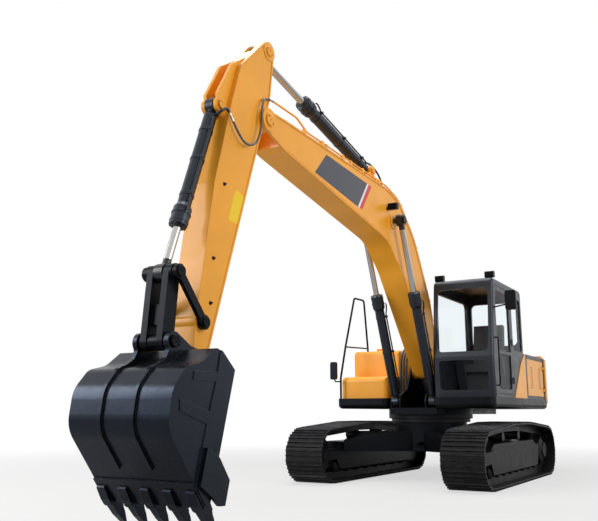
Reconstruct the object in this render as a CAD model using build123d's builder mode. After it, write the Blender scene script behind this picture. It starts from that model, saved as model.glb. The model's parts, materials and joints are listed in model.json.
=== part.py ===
from build123d import *
from math import atan2, cos, degrees, hypot, pi, radians, sin, tan
import os

# A crawler excavator of the 22 tonne class, standing with its bucket curled in front of it.
# Millimetres. +X points forward over the tracks, +Y to the cab's side, +Z up. The origin is on
# the ground, on the slewing axis.
os.makedirs("parts", exist_ok=True)

# ---------------------------------------------------------------- driving sizes
# Fits: a running gap at pins and bearings, a seat between pieces of one body, a gap between movers
PIN_GAP = 0.3
SEAT_GAP = 0.3
MOVING_GAP = 6.0

# Tracks
TRACK_GAUGE = 2380.0
TUMBLER_DISTANCE = 3445.0
TRACK_END_RADIUS = 405.0
SHOE_WIDTH = 600.0
SHOE_COUNT = 47
SHOE_PLATE = 14.0
GROUSER_HEIGHT = 26.0
GROUSER_FOOT = 0.05
LINK_HEIGHT = 103.0
RAIL_WIDTH = 55.0
RAIL_OPENING = 90.0
CARRIER_LIFT = 80.0
CARRIER_SPACING = 900.0

# Wheels in the tracks
SPROCKET_TEETH = 21
SPROCKET_THICKNESS = 60.0
TOOTH_HEIGHT = 48.0
IDLER_FLANGE = 24.0
IDLER_HUB_RADIUS = 90.0
FINAL_DRIVE_RADIUS = 215.0
FINAL_DRIVE_REACH = 205.0
ROLLER_RADIUS = 82.0
ROLLER_FLANGE = 18.0
ROLLER_COUNT = 8
ROLLER_SPREAD = 2520.0
CARRIER_RADIUS = 68.0

# Track frames and the frame between them
FRAME_WIDTH = 310.0
FRAME_LOW = 335.0
FRAME_HIGH = 590.0
FRAME_SIDE_PLATE = 22.0
GROUND_CLEARANCE = 440.0
CENTRE_HEIGHT = 740.0
CENTRE_LENGTH = 1150.0
CENTRE_WIDTH = 1040.0
LEG_INNER = 460.0
LEG_OUTER = 560.0
LEG_REACH = 1130.0
DRUM_RADIUS = 575.0
DRUM_HEIGHT = 880.0
TOW_LUG_RADIUS = 75.0
TOW_LUG_PLATE = 50.0
TOW_BORE_RADIUS = 32.0
TOW_HEIGHT = 560.0
TOW_REACH = 655.0
RING_RADIUS = 670.0
RING_BORE = 500.0
RING_HEIGHT = 1000.0

# Upper frame
HOUSE_WIDTH = 2728.0
DECK_LOW = 1088.0
DECK_HIGH = 1252.0
DECK_SKIN = 25.0
DECK_RIM = 90.0
DECK_LAP = 12.0
SKIRT_ROUND = 65.0
DECK_FRONT_LEFT = 1080.0
DECK_FRONT_RIGHT = 700.0
DECK_REAR = -2250.0
DECK_ROUND = 120.0
SPINE_HALF_WIDTH = 440.0
SPINE_HIGH = 1100.0
SPINE_FRONT = 760.0
CHEEK_INNER = 198.0
CHEEK_PLATE = 30.0
CHEEK_HIGH = 1400.0
CHEEK_REAR = -900.0
BRACKET_PLATE = 22.0

# Counterweight
TAIL_RADIUS = 2900.0
TAIL_CORNER = -2450.0
TAIL_LOW = 1088.0
TAIL_HIGH = 2035.0
TAIL_EDGE = 70.0
TAIL_ROUND = 230.0

# Engine bay, its covers and what stands on the deck
BAY_FRONT = -940.0
BAY_HIGH = 1985.0
BAY_WALL = 40.0
BAY_POST = 90.0
HOOD_HEIGHT = 60.0
HOOD_SKIN = 12.0
HOOD_WALL = 45.0
HOOD_MARGIN = 120.0
DOOR_PLATE = 35.0
LOUVRE_WIDTH = 190.0
LOUVRE_HEIGHT = 14.0
LOUVRE_PITCH = 38.0
LOUVRE_COUNT = 10
LOUVRE_DEPTH = 14.0
COVER_LOW_FRONT = -180.0
COVER_HIGH_FRONT = -640.0
COVER_BEND_HEIGHT = 1800.0
ENGINE_LENGTH = 640.0
ENGINE_WIDTH = 1250.0
ENGINE_HEIGHT = 560.0
ENGINE_LOW = 1300.0
TANK_FRONT = 50.0
TANK_HIGH = 2060.0
TANK_INNER = 500.0
TANK_ROUND = 60.0
CAP_RADIUS = 75.0
BOX_FRONT = 570.0
BOX_HIGH = 1606.0
BOX_ROUND = 80.0
SIDE_INSET = 20.0

# Handrail over the tank, mirrors and lamps
HANDRAIL_RADIUS = 17.0
RAIL_ACROSS = -1300.0
RAIL_FRONT = 650.0
RAIL_KNEE = 1590.0
RAIL_CROSS_FRONT = (463.0, 2116.0)
RAIL_CROSS_REAR = (-425.0, 2150.0)
RAIL_TOP_FRONT = (98.0, 2994.0)
RAIL_TOP_REAR = (-290.0, 3000.0)
RAIL_BEND = 60.0
BRACKET_RADIUS = 11.0
MIRROR_TALL = 290.0
MIRROR_THICK = 45.0
LAMP_WIDTH = 140.0
LAMP_TALL = 95.0
LAMP_THICK = 80.0

# Cab
CAB_INNER = 400.0
CAB_OUTER = 1335.0
CAB_REAR = -900.0
CAB_FRONT_LOW = 860.0
CAB_FRONT_BELLY = 905.0
CAB_FRONT_HIGH = 770.0
CAB_BELLY_HEIGHT = 1850.0
CAB_HIGH = 3040.0
CAB_WALL = 45.0
CAB_ROUND = 90.0
GLASS = 6.0
GLASS_DEPTH = 16.0
CAB_DOOR_REAR = -150.0
CAB_DOOR_FRONT = 740.0
CAB_DOOR_LOW = 1300.0
CAB_DOOR_HIGH = 2930.0
CAB_DOOR_PLATE = 40.0
CAB_DOOR_FRAME = 75.0
CAB_DOOR_RAIL = 1925.0
CAB_DOOR_RAIL_WIDTH = 55.0

GRAB_X = 790.0
GRAB_LOW = 1420.0
GRAB_HIGH = 2120.0
GRAB_OUT = 50.0

# Door hinges
HINGE_PROUD = 12.0
HINGE_LEAF = 55.0
LEAF_PLATE = 10.0
LEAF_GAP = 3.0
KNUCKLE_RADIUS = 10.0
KNUCKLE_LENGTH = 46.0
HINGE_LENGTH = 96.0
HINGE_PIN_RADIUS = 5.0

# Boom: pins and outline in its own frame, whose first axis runs from the foot pin to the arm's pin
BOOM_FOOT = (120.0, 1720.0)
BOOM_LENGTH = 5686.0
BOOM_ANGLE = 26.0
BOOM_WIDTH = 370.0
BOOM_FOOT_RADIUS = 150.0
BOOM_TIP_RADIUS = 135.0
BOOM_TIP_WIDTH = 392.0
BOOM_FORK_DEPTH = 340.0
FLANGE_EDGE = 22.0
WEB_INSET = 8.0
PIPE_RADIUS = 12.0
PIPE_ACROSS = 171.0
PIPE_LIFT = 40.0
PIPE_CLAMP = 46.0
BOOM_LAMP = (2667.0, 1225.0)
FOOT_PIN_RADIUS = 50.0

# Arm, in its own frame from the boom's pin to the bucket's pin
ARM_LENGTH = 2952.0
ARM_ANGLE = -68.1
ARM_REACH_ANGLE = -1.1
ARM_WIDTH = 300.0
ARM_BOSS_RADIUS = 130.0
ARM_PIN_RADIUS = 48.0
ARM_TIP_RADIUS = 98.0
ARM_NOSE = 381.0
EAR_PLATE = 40.0

# Bucket, in its own frame from the arm's pin to the teeth's tips
BUCKET_ANGLE = -81.95
BUCKET_TIP_RADIUS = 1429.0
BUCKET_WIDTH = 1100.0
BUCKET_PLATE = 24.0
BUCKET_EAR_PLATE = 48.0
BUCKET_PIN_RADIUS = 40.0
TOOTH_COUNT = 5
TOOTH_WIDTH = 96.0
TOOTH_TAPER = 0.62
SIDE_CUTTER_PLATE = 32.0
LIP_WEAR_PLATE = 16.0
BACK_STRIP = 22.0
BACK_STRIP_WIDTH = 34.0
SIDE_STRIP = 10.0
SIDE_RIB = 8.0
LINK_BOSS = 8.0

# Cylinders: pins as (along, out) in the frame of what carries them
BOOM_CYLINDER_BASE = (670.0, 1200.0)
BOOM_CYLINDER_EYE = (2422.0, 1154.0)
BOOM_CYLINDER_SPREAD = 305.0
BOOM_BARREL_RADIUS = 72.0
BOOM_BARREL_LENGTH = 1745.0
BOOM_ROD_RADIUS = 43.0
BOOM_ROD_LENGTH = 1840.0
ARM_CYLINDER_BASE = (3165.0, 1515.0)
ARM_CYLINDER_EYE = (-812.0, 272.0)
ARM_BARREL_RADIUS = 80.0
ARM_BARREL_LENGTH = 1916.0
ARM_ROD_RADIUS = 48.0
ARM_ROD_LENGTH = 1900.0
BUCKET_CYLINDER_BASE = (370.0, 692.0)
BUCKET_BARREL_RADIUS = 68.0
BUCKET_BARREL_LENGTH = 1483.0
BUCKET_ROD_RADIUS = 40.0
BUCKET_ROD_LENGTH = 1560.0
EYE_HALF_WIDTH = 50.0
EYE_RADIUS = 88.0
CYLINDER_PIN_RADIUS = 38.0
GLAND_LENGTH = 205.0
GLAND_PROUD = 21.0
GLAND_SHOULDER = 45.0
BARREL_NECK = 45.0

# Hoses
ARM_HOSE_DIAMETER = 25.0
BASE_HOSE_DIAMETER = 30.0
FOOT_HOSE_DIAMETER = 32.0
FOOT_HOSE_FIRST = 290.0
FOOT_HOSE_PITCH = 50.0

# Bucket linkage
GUIDE_SETBACK = 355.0
GUIDE_RISE = 121.0
LINK_SETBACK = 603.0
LINK_RISE = 630.0
GUIDE_PIVOT = (ARM_LENGTH - GUIDE_SETBACK, GUIDE_RISE)
LINK_PIN = (ARM_LENGTH - LINK_SETBACK, LINK_RISE)
BUCKET_LINK_PIN = (-104.0, 439.0)
LINK_RADIUS = 78.0
LINK_PLATE = 42.0
LINK_HALF_WIDTH = 126.0
GUIDE_BOSS_RADIUS = 70.0
GUIDE_BAR_WIDTH = 80.0

# ---------------------------------------------------------------- planes and places worked out


def side_plane(y):
    """The plane of a side outline, y to the left of the middle: coordinates are (x, z)."""
    return Plane.XZ.offset(-y)


def link_plane(start, turn, y=0.0):
    """A side plane whose origin is on a pin and whose first axis is turned up by some degrees.
    It also takes turned outlines about a cylinder's own line: (along the line, radius)."""
    along = (cos(radians(turn)), 0, sin(radians(turn)))
    return Plane(origin=(start[0], y, start[1]), x_dir=along, z_dir=(0, -1, 0))


def axle_plane(x, y, z):
    """The plane of a turned outline: coordinates are (along the axle, radius)."""
    return Plane(origin=(x, y, z), x_dir=(0, 1, 0), z_dir=(1, 0, 0))


def place(start, turn, point):
    """A point of a turned frame, as (x, z) of the machine."""
    c, s = cos(radians(turn)), sin(radians(turn))
    return (start[0] + c * point[0] - s * point[1], start[1] + s * point[0] + c * point[1])


def span(start, end):
    """How far and at what angle the second point lies from the first."""
    return hypot(end[0] - start[0], end[1] - start[1]), degrees(
        atan2(end[1] - start[1], end[0] - start[0])
    )


def tube(path, radius):
    """A round bar, pipe or hose along a path."""
    with BuildPart() as made:
        with BuildSketch(Plane(origin=path.line @ 0, z_dir=path.line % 0)):
            Circle(radius)
        sweep(path=path.line)
    return made.part


SIDES = (("left", 1), ("right", -1))
Y_AXIS = (0, 1, 0)

AXLE_HEIGHT = TRACK_END_RADIUS
IDLER_X = TUMBLER_DISTANCE / 2
PLATE_RADIUS = TRACK_END_RADIUS - GROUSER_HEIGHT
RAIL_RADIUS = PLATE_RADIUS - SHOE_PLATE - LINK_HEIGHT
RAIL_OUTER = RAIL_OPENING / 2 + RAIL_WIDTH
CARRIER_TOP = AXLE_HEIGHT + PLATE_RADIUS + CARRIER_LIFT
ROLLER_HEIGHT = AXLE_HEIGHT - RAIL_RADIUS + SEAT_GAP + ROLLER_RADIUS
CARRIER_HEIGHT = CARRIER_TOP - SHOE_PLATE - LINK_HEIGHT - 2 * SEAT_GAP - CARRIER_RADIUS
FRAME_INNER = TRACK_GAUGE / 2 - FRAME_WIDTH / 2 - FRAME_SIDE_PLATE

ARM_PIN = place(BOOM_FOOT, BOOM_ANGLE, (BOOM_LENGTH, 0))
BUCKET_PIN = place(ARM_PIN, ARM_ANGLE, (ARM_LENGTH, 0))
BOOM_EYE = place(BOOM_FOOT, BOOM_ANGLE, BOOM_CYLINDER_EYE)
ARM_BASE = place(BOOM_FOOT, BOOM_ANGLE, ARM_CYLINDER_BASE)
ARM_EYE = place(ARM_PIN, ARM_ANGLE, ARM_CYLINDER_EYE)
BUCKET_BASE = place(ARM_PIN, ARM_ANGLE, BUCKET_CYLINDER_BASE)
GUIDE_PIN = place(ARM_PIN, ARM_ANGLE, GUIDE_PIVOT)
JOINING_PIN = place(ARM_PIN, ARM_ANGLE, LINK_PIN)
CURL_PIN = place(BUCKET_PIN, BUCKET_ANGLE, BUCKET_LINK_PIN)

BOOM_CYLINDER_SPAN, BOOM_CYLINDER_TURN = span(BOOM_CYLINDER_BASE, BOOM_EYE)
ARM_CYLINDER_SPAN, ARM_CYLINDER_TURN = span(ARM_BASE, ARM_EYE)
BUCKET_CYLINDER_SPAN, BUCKET_CYLINDER_TURN = span(BUCKET_BASE, JOINING_PIN)
GUIDE_SPAN, GUIDE_TURN = span(GUIDE_PIN, JOINING_PIN)
LINK_SPAN, LINK_TURN = span(CURL_PIN, JOINING_PIN)

# Layers across the machine at the front pins, from the middle outwards
EAR_INNER = EYE_HALF_WIDTH + MOVING_GAP
FORK_INNER = ARM_WIDTH / 2 + MOVING_GAP
CHEEK_OUTER = CHEEK_INNER + CHEEK_PLATE

# ---------------------------------------------------------------- tracks
# The line on which the shoes' plates lie: flat below, round the wheels, and up over the two
# carrier rollers.
with BuildLine() as plate_line:
    foot_run = Line((-IDLER_X, GROUSER_HEIGHT), (IDLER_X, GROUSER_HEIGHT))
    front_bend = ThreePointArc(
        foot_run @ 1, (IDLER_X + PLATE_RADIUS, AXLE_HEIGHT), (IDLER_X, AXLE_HEIGHT + PLATE_RADIUS)
    )
    top_run = Polyline(
        front_bend @ 1,
        (CARRIER_SPACING / 2, CARRIER_TOP),
        (-CARRIER_SPACING / 2, CARRIER_TOP),
        (-IDLER_X, AXLE_HEIGHT + PLATE_RADIUS),
    )
    ThreePointArc(top_run @ 1, (-IDLER_X - PLATE_RADIUS, AXLE_HEIGHT), foot_run @ 0)

with BuildSketch() as inside_rails:
    make_face(plate_line.edges())
    offset(amount=-SHOE_PLATE - LINK_HEIGHT)

# Each shoe is a flat plate with three ridges. Its outline is worked out between two link pins.
link_pins = [plate_line.wire() @ (i / SHOE_COUNT) for i in range(SHOE_COUNT)]
shoe_outline = []
plate_inside = []
for number, pin in enumerate(link_pins):
    step = link_pins[(number + 1) % SHOE_COUNT] - pin
    outward = Vector(step.Y, -step.X).normalized()
    shoe_outline.append(pin + step * 0.015)
    for ridge in (0.14, 0.5, 0.86):
        shoe_outline.append(pin + step * (ridge - GROUSER_FOOT))
        shoe_outline.append(pin + step * ridge + outward * GROUSER_HEIGHT)
        shoe_outline.append(pin + step * (ridge + GROUSER_FOOT))
    shoe_outline.append(pin + step * 0.985)
    plate_inside.append(pin + step * 0.5 - outward * SHOE_PLATE)

for name, side in SIDES:
    middle = side * TRACK_GAUGE / 2
    with BuildPart() as track:
        with BuildSketch(side_plane(middle)):
            with BuildLine():
                Polyline(*shoe_outline, close=True)
            make_face()
            with BuildLine():
                Polyline(*plate_inside, close=True)
            make_face(mode=Mode.SUBTRACT)
        extrude(amount=SHOE_WIDTH / 2, both=True)
        for rail in (-1, 1):
            with BuildSketch(side_plane(middle + rail * (RAIL_OPENING + RAIL_WIDTH) / 2)):
                with BuildLine():
                    Polyline(*link_pins, close=True)
                make_face()
                add(inside_rails.sketch, mode=Mode.SUBTRACT)
            extrude(amount=RAIL_WIDTH / 2, both=True)
    track.part.label = f"track_{name}"
    export_step(track.part, f"parts/track_{name}.step")

# ---------------------------------------------------------------- wheels in the tracks
WHEEL_RADIUS = RAIL_RADIUS - SEAT_GAP
HUB_HALF = FRAME_WIDTH / 2 - SEAT_GAP

for name, side in SIDES:
    middle = side * TRACK_GAUGE / 2
    with BuildPart() as idler:
        with BuildSketch(axle_plane(IDLER_X, middle, AXLE_HEIGHT)):
            with BuildLine():
                Polyline(
                    (-HUB_HALF, 0),
                    (-HUB_HALF, IDLER_HUB_RADIUS),
                    (-RAIL_OUTER, IDLER_HUB_RADIUS),
                    (-RAIL_OUTER, WHEEL_RADIUS),
                    (-RAIL_OPENING / 2 + MOVING_GAP, WHEEL_RADIUS),
                    (-RAIL_OPENING / 2 + 2 * MOVING_GAP, WHEEL_RADIUS + IDLER_FLANGE),
                    (RAIL_OPENING / 2 - 2 * MOVING_GAP, WHEEL_RADIUS + IDLER_FLANGE),
                    (RAIL_OPENING / 2 - MOVING_GAP, WHEEL_RADIUS),
                    (RAIL_OUTER, WHEEL_RADIUS),
                    (RAIL_OUTER, IDLER_HUB_RADIUS),
                    (HUB_HALF, IDLER_HUB_RADIUS),
                    (HUB_HALF, 0),
                    close=True,
                )
            make_face()
        revolve(axis=Axis((IDLER_X, middle, AXLE_HEIGHT), Y_AXIS))
    idler.part.label = f"idler_{name}"
    export_step(idler.part, f"parts/idler_{name}.step")

# The sprocket is a toothed plate on the drum of the final drive. The drive's cover stands out
# on the outer side and its drum meets the track frame's plate on the inner side.
TOOTH_ROOT = WHEEL_RADIUS
tooth_points = []
for tooth in range(SPROCKET_TEETH):
    for share, radius in (
        (-0.34, TOOTH_ROOT),
        (-0.14, TOOTH_ROOT + TOOTH_HEIGHT),
        (0.14, TOOTH_ROOT + TOOTH_HEIGHT),
        (0.34, TOOTH_ROOT),
    ):
        turn = 2 * pi * (tooth + share) / SPROCKET_TEETH
        tooth_points.append((radius * cos(turn), radius * sin(turn)))

for name, side in SIDES:
    middle = side * TRACK_GAUGE / 2
    with BuildPart() as final_drive:
        with BuildSketch(link_plane((-IDLER_X, AXLE_HEIGHT), 0, middle)):
            with BuildLine():
                Polyline(*tooth_points, close=True)
            make_face()
        extrude(amount=SPROCKET_THICKNESS / 2, both=True)
        with BuildSketch(axle_plane(-IDLER_X, middle, AXLE_HEIGHT)):
            with BuildLine():
                Polyline(
                    (-side * HUB_HALF, 0),
                    (-side * HUB_HALF, FINAL_DRIVE_RADIUS * 0.9),
                    (side * SPROCKET_THICKNESS, FINAL_DRIVE_RADIUS),
                    (side * FINAL_DRIVE_REACH * 0.72, FINAL_DRIVE_RADIUS * 0.92),
                    (side * FINAL_DRIVE_REACH * 0.86, FINAL_DRIVE_RADIUS * 0.62),
                    (side * FINAL_DRIVE_REACH, FINAL_DRIVE_RADIUS * 0.56),
                    (side * FINAL_DRIVE_REACH, 0),
                    close=True,
                )
            make_face()
        revolve(axis=Axis((-IDLER_X, middle, AXLE_HEIGHT), Y_AXIS))
    final_drive.part.label = f"final_drive_{name}"
    export_step(final_drive.part, f"parts/final_drive_{name}.step")

# Track rollers: spools that carry the frame on the rails of the lower run.
with BuildPart() as track_rollers:
    for name, side in SIDES:
        middle = side * TRACK_GAUGE / 2
        for number in range(ROLLER_COUNT):
            x = ROLLER_SPREAD * (number / (ROLLER_COUNT - 1) - 0.5)
            with BuildSketch(axle_plane(x, middle, ROLLER_HEIGHT)):
                with BuildLine():
                    Polyline(
                        (-HUB_HALF, 0),
                        (-HUB_HALF, ROLLER_RADIUS * 0.55),
                        (-RAIL_OUTER - MOVING_GAP - ROLLER_FLANGE, ROLLER_RADIUS + ROLLER_FLANGE),
                        (-RAIL_OUTER - MOVING_GAP, ROLLER_RADIUS + ROLLER_FLANGE),
                        (-RAIL_OUTER - MOVING_GAP, ROLLER_RADIUS),
                        (RAIL_OUTER + MOVING_GAP, ROLLER_RADIUS),
                        (RAIL_OUTER + MOVING_GAP, ROLLER_RADIUS + ROLLER_FLANGE),
                        (RAIL_OUTER + MOVING_GAP + ROLLER_FLANGE, ROLLER_RADIUS + ROLLER_FLANGE),
                        (HUB_HALF, ROLLER_RADIUS * 0.55),
                        (HUB_HALF, 0),
                        close=True,
                    )
                make_face()
            revolve(axis=Axis((x, middle, ROLLER_HEIGHT), Y_AXIS))
track_rollers.part.label = "track_rollers"
export_step(track_rollers.part, "parts/track_rollers.step")

# Carrier rollers: two on each side hold up the upper run, each on a shaft from its own bracket.
with BuildPart() as carrier_rollers:
    for name, side in SIDES:
        middle = side * TRACK_GAUGE / 2
        for x in (-CARRIER_SPACING / 2, CARRIER_SPACING / 2):
            with BuildSketch(side_plane(middle)):
                with Locations((x, CARRIER_HEIGHT)):
                    Circle(CARRIER_RADIUS)
            extrude(amount=RAIL_OUTER, both=True)
            with BuildSketch(side_plane(middle - side * RAIL_OUTER)):
                with Locations((x, CARRIER_HEIGHT)):
                    Circle(CARRIER_RADIUS * 0.5)
            extrude(amount=side * (FRAME_WIDTH / 2 - RAIL_OUTER - SEAT_GAP))
carrier_rollers.part.label = "carrier_rollers"
export_step(carrier_rollers.part, "parts/carrier_rollers.step")

# ---------------------------------------------------------------- track frames
# A box beam with a roller plate down each side. The plates reach forward as a fork round the
# idler's hub and back to the round seat of the final drive.
FORK_LOW = ROLLER_HEIGHT - ROLLER_RADIUS * 0.55
BEAM_HALF = IDLER_X - PLATE_RADIUS - 2 * MOVING_GAP
for name, side in SIDES:
    middle = side * TRACK_GAUGE / 2
    with BuildPart() as track_frame:
        with BuildSketch(side_plane(middle)):
            with BuildLine():
                Polyline(
                    (-BEAM_HALF, FRAME_LOW + 60),
                    (-BEAM_HALF + 90, FRAME_LOW),
                    (BEAM_HALF - 90, FRAME_LOW),
                    (BEAM_HALF, FRAME_LOW + 60),
                    (BEAM_HALF, FRAME_HIGH - 90),
                    (BEAM_HALF - 200, FRAME_HIGH),
                    (-BEAM_HALF + 200, FRAME_HIGH),
                    (-BEAM_HALF, FRAME_HIGH - 90),
                    close=True,
                )
            make_face()
        extrude(amount=FRAME_WIDTH / 2, both=True)
        for face in (-1, 1):
            across = middle + face * (FRAME_WIDTH + FRAME_SIDE_PLATE) / 2
            with BuildSketch(side_plane(across)):
                with BuildLine():
                    Polyline(
                        (-BEAM_HALF - 40, FRAME_LOW + 20),
                        (-BEAM_HALF + 60, FORK_LOW),
                        (BEAM_HALF - 60, FORK_LOW),
                        (BEAM_HALF + 40, FRAME_LOW),
                        (IDLER_X, AXLE_HEIGHT - IDLER_HUB_RADIUS),
                        (IDLER_X + IDLER_HUB_RADIUS, AXLE_HEIGHT - IDLER_HUB_RADIUS * 0.5),
                        (IDLER_X + IDLER_HUB_RADIUS, AXLE_HEIGHT + IDLER_HUB_RADIUS * 0.5),
                        (IDLER_X, AXLE_HEIGHT + IDLER_HUB_RADIUS),
                        (BEAM_HALF, AXLE_HEIGHT + IDLER_HUB_RADIUS),
                        (BEAM_HALF - 120, FRAME_HIGH - 70),
                        (-BEAM_HALF - 40, FRAME_HIGH - 70),
                        close=True,
                    )
                make_face()
                if face == -side:
                    with Locations((-IDLER_X, AXLE_HEIGHT)):
                        Circle(FINAL_DRIVE_RADIUS + 25)
                    with BuildLine():
                        Polyline(
                            (-IDLER_X, AXLE_HEIGHT - FINAL_DRIVE_RADIUS - 25),
                            (-BEAM_HALF + 60, FORK_LOW),
                            (-BEAM_HALF + 60, FRAME_HIGH - 70),
                            (-IDLER_X, AXLE_HEIGHT + FINAL_DRIVE_RADIUS + 25),
                            close=True,
                        )
                    make_face()
            extrude(amount=FRAME_SIDE_PLATE / 2, both=True)
        for x in (-CARRIER_SPACING / 2, CARRIER_SPACING / 2):
            with BuildSketch(side_plane(middle - side * (FRAME_WIDTH / 2 + FRAME_SIDE_PLATE / 2))):
                with BuildLine():
                    Polyline(
                        (x - 90, FRAME_HIGH - 80),
                        (x + 90, FRAME_HIGH - 80),
                        (x + 45, CARRIER_HEIGHT + 40),
                        (x - 45, CARRIER_HEIGHT + 40),
                        close=True,
                    )
                make_face()
            extrude(amount=FRAME_SIDE_PLATE / 2, both=True)
    track_frame.part.label = f"track_frame_{name}"
    export_step(track_frame.part, f"parts/track_frame_{name}.step")

# ---------------------------------------------------------------- frame between the tracks
# Four legs spread from a box under the drum of the slewing ring to the two track frames.
with BuildPart() as centre_frame:
    with BuildSketch(Plane.XY.offset(GROUND_CLEARANCE)):
        Rectangle(CENTRE_LENGTH, CENTRE_WIDTH)
        for x in (-1, 1):
            for y in (-1, 1):
                with BuildLine():
                    Polyline(
                        (x * CENTRE_LENGTH * 0.5, y * 90),
                        (x * LEG_REACH, y * FRAME_INNER),
                        (x * (LEG_REACH - LEG_OUTER), y * FRAME_INNER),
                        (x * (CENTRE_LENGTH * 0.5 - LEG_INNER), y * CENTRE_WIDTH * 0.5),
                        (x * 60, y * 60),
                        close=True,
                    )
                make_face()
    extrude(amount=CENTRE_HEIGHT - GROUND_CLEARANCE)
    with BuildSketch(side_plane(0)):
        for x in (-1, 1):
            with BuildLine():
                Polyline(
                    (x * CENTRE_LENGTH * 0.55, CENTRE_HEIGHT),
                    (x * (LEG_REACH + 1), CENTRE_HEIGHT - 130),
                    (x * (LEG_REACH + 1), CENTRE_HEIGHT + 1),
                    close=True,
                )
            make_face()
    extrude(amount=FRAME_INNER, both=True, mode=Mode.SUBTRACT)
    with BuildSketch(Plane.XY.offset(CENTRE_HEIGHT)):
        Circle(DRUM_RADIUS)
    extrude(amount=DRUM_HEIGHT - CENTRE_HEIGHT)
    for end in (-1, 1):
        with BuildSketch(Plane.XY.offset(TOW_HEIGHT)):
            with Locations((end * TOW_REACH, 0)):
                Circle(TOW_LUG_RADIUS)
            with Locations((end * (TOW_REACH - TOW_LUG_RADIUS), 0)):
                Rectangle(2 * TOW_LUG_RADIUS, 2 * TOW_LUG_RADIUS)
            with Locations((end * TOW_REACH, 0)):
                Circle(TOW_BORE_RADIUS, mode=Mode.SUBTRACT)
        extrude(amount=TOW_LUG_PLATE / 2, both=True)
centre_frame.part.label = "centre_frame"
export_step(centre_frame.part, "parts/centre_frame.step")

with BuildPart() as slewing_ring:
    with BuildSketch(Plane.XZ) as ring_section:
        with BuildLine():
            Polyline(
                (RING_BORE, DRUM_HEIGHT),
                (RING_RADIUS - 40, DRUM_HEIGHT),
                (RING_RADIUS - 40, DRUM_HEIGHT + 50),
                (RING_RADIUS, DRUM_HEIGHT + 58),
                (RING_RADIUS, RING_HEIGHT),
                (RING_BORE, RING_HEIGHT),
                close=True,
            )
        make_face()
    revolve(axis=Axis.Z)
slewing_ring.part.label = "slewing_ring"
export_step(slewing_ring.part, "parts/slewing_ring.step")

# ---------------------------------------------------------------- upper frame
# A spine plate on the ring with two upright cheeks that hold the boom and its cylinders, and a
# deck of pressed skirts on either side.
HALF_WIDTH = HOUSE_WIDTH / 2
CYLINDER_INNER = BOOM_CYLINDER_SPREAD - EYE_HALF_WIDTH
CYLINDER_OUTER = BOOM_CYLINDER_SPREAD + EYE_HALF_WIDTH


def deck(side, front):
    """A skirt plate with rolled lower edges and a thick rim, open underneath."""
    length = front - DECK_REAR
    width = HALF_WIDTH - SPINE_HALF_WIDTH + DECK_LAP
    with BuildPart() as plate:
        with BuildSketch(Plane.XY.offset(DECK_LOW)) as deck_outline:
            with Locations((front - length / 2, side * (HALF_WIDTH - width / 2))):
                Rectangle(length, width)
            fillet(vertices().group_by(Axis.X)[-1], radius=DECK_ROUND)
        extrude(amount=DECK_HIGH - DECK_LOW)
        fillet(edges().filter_by(Axis.X).group_by(Axis.Z)[0].sort_by(Axis.Y)[::-side][:1], SKIRT_ROUND)
        with BuildSketch(Plane.XY.offset(DECK_LOW)):
            offset(deck_outline.sketch, amount=-DECK_RIM)
        extrude(amount=DECK_HIGH - DECK_LOW - DECK_SKIN, mode=Mode.SUBTRACT)
    return plate.part


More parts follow.
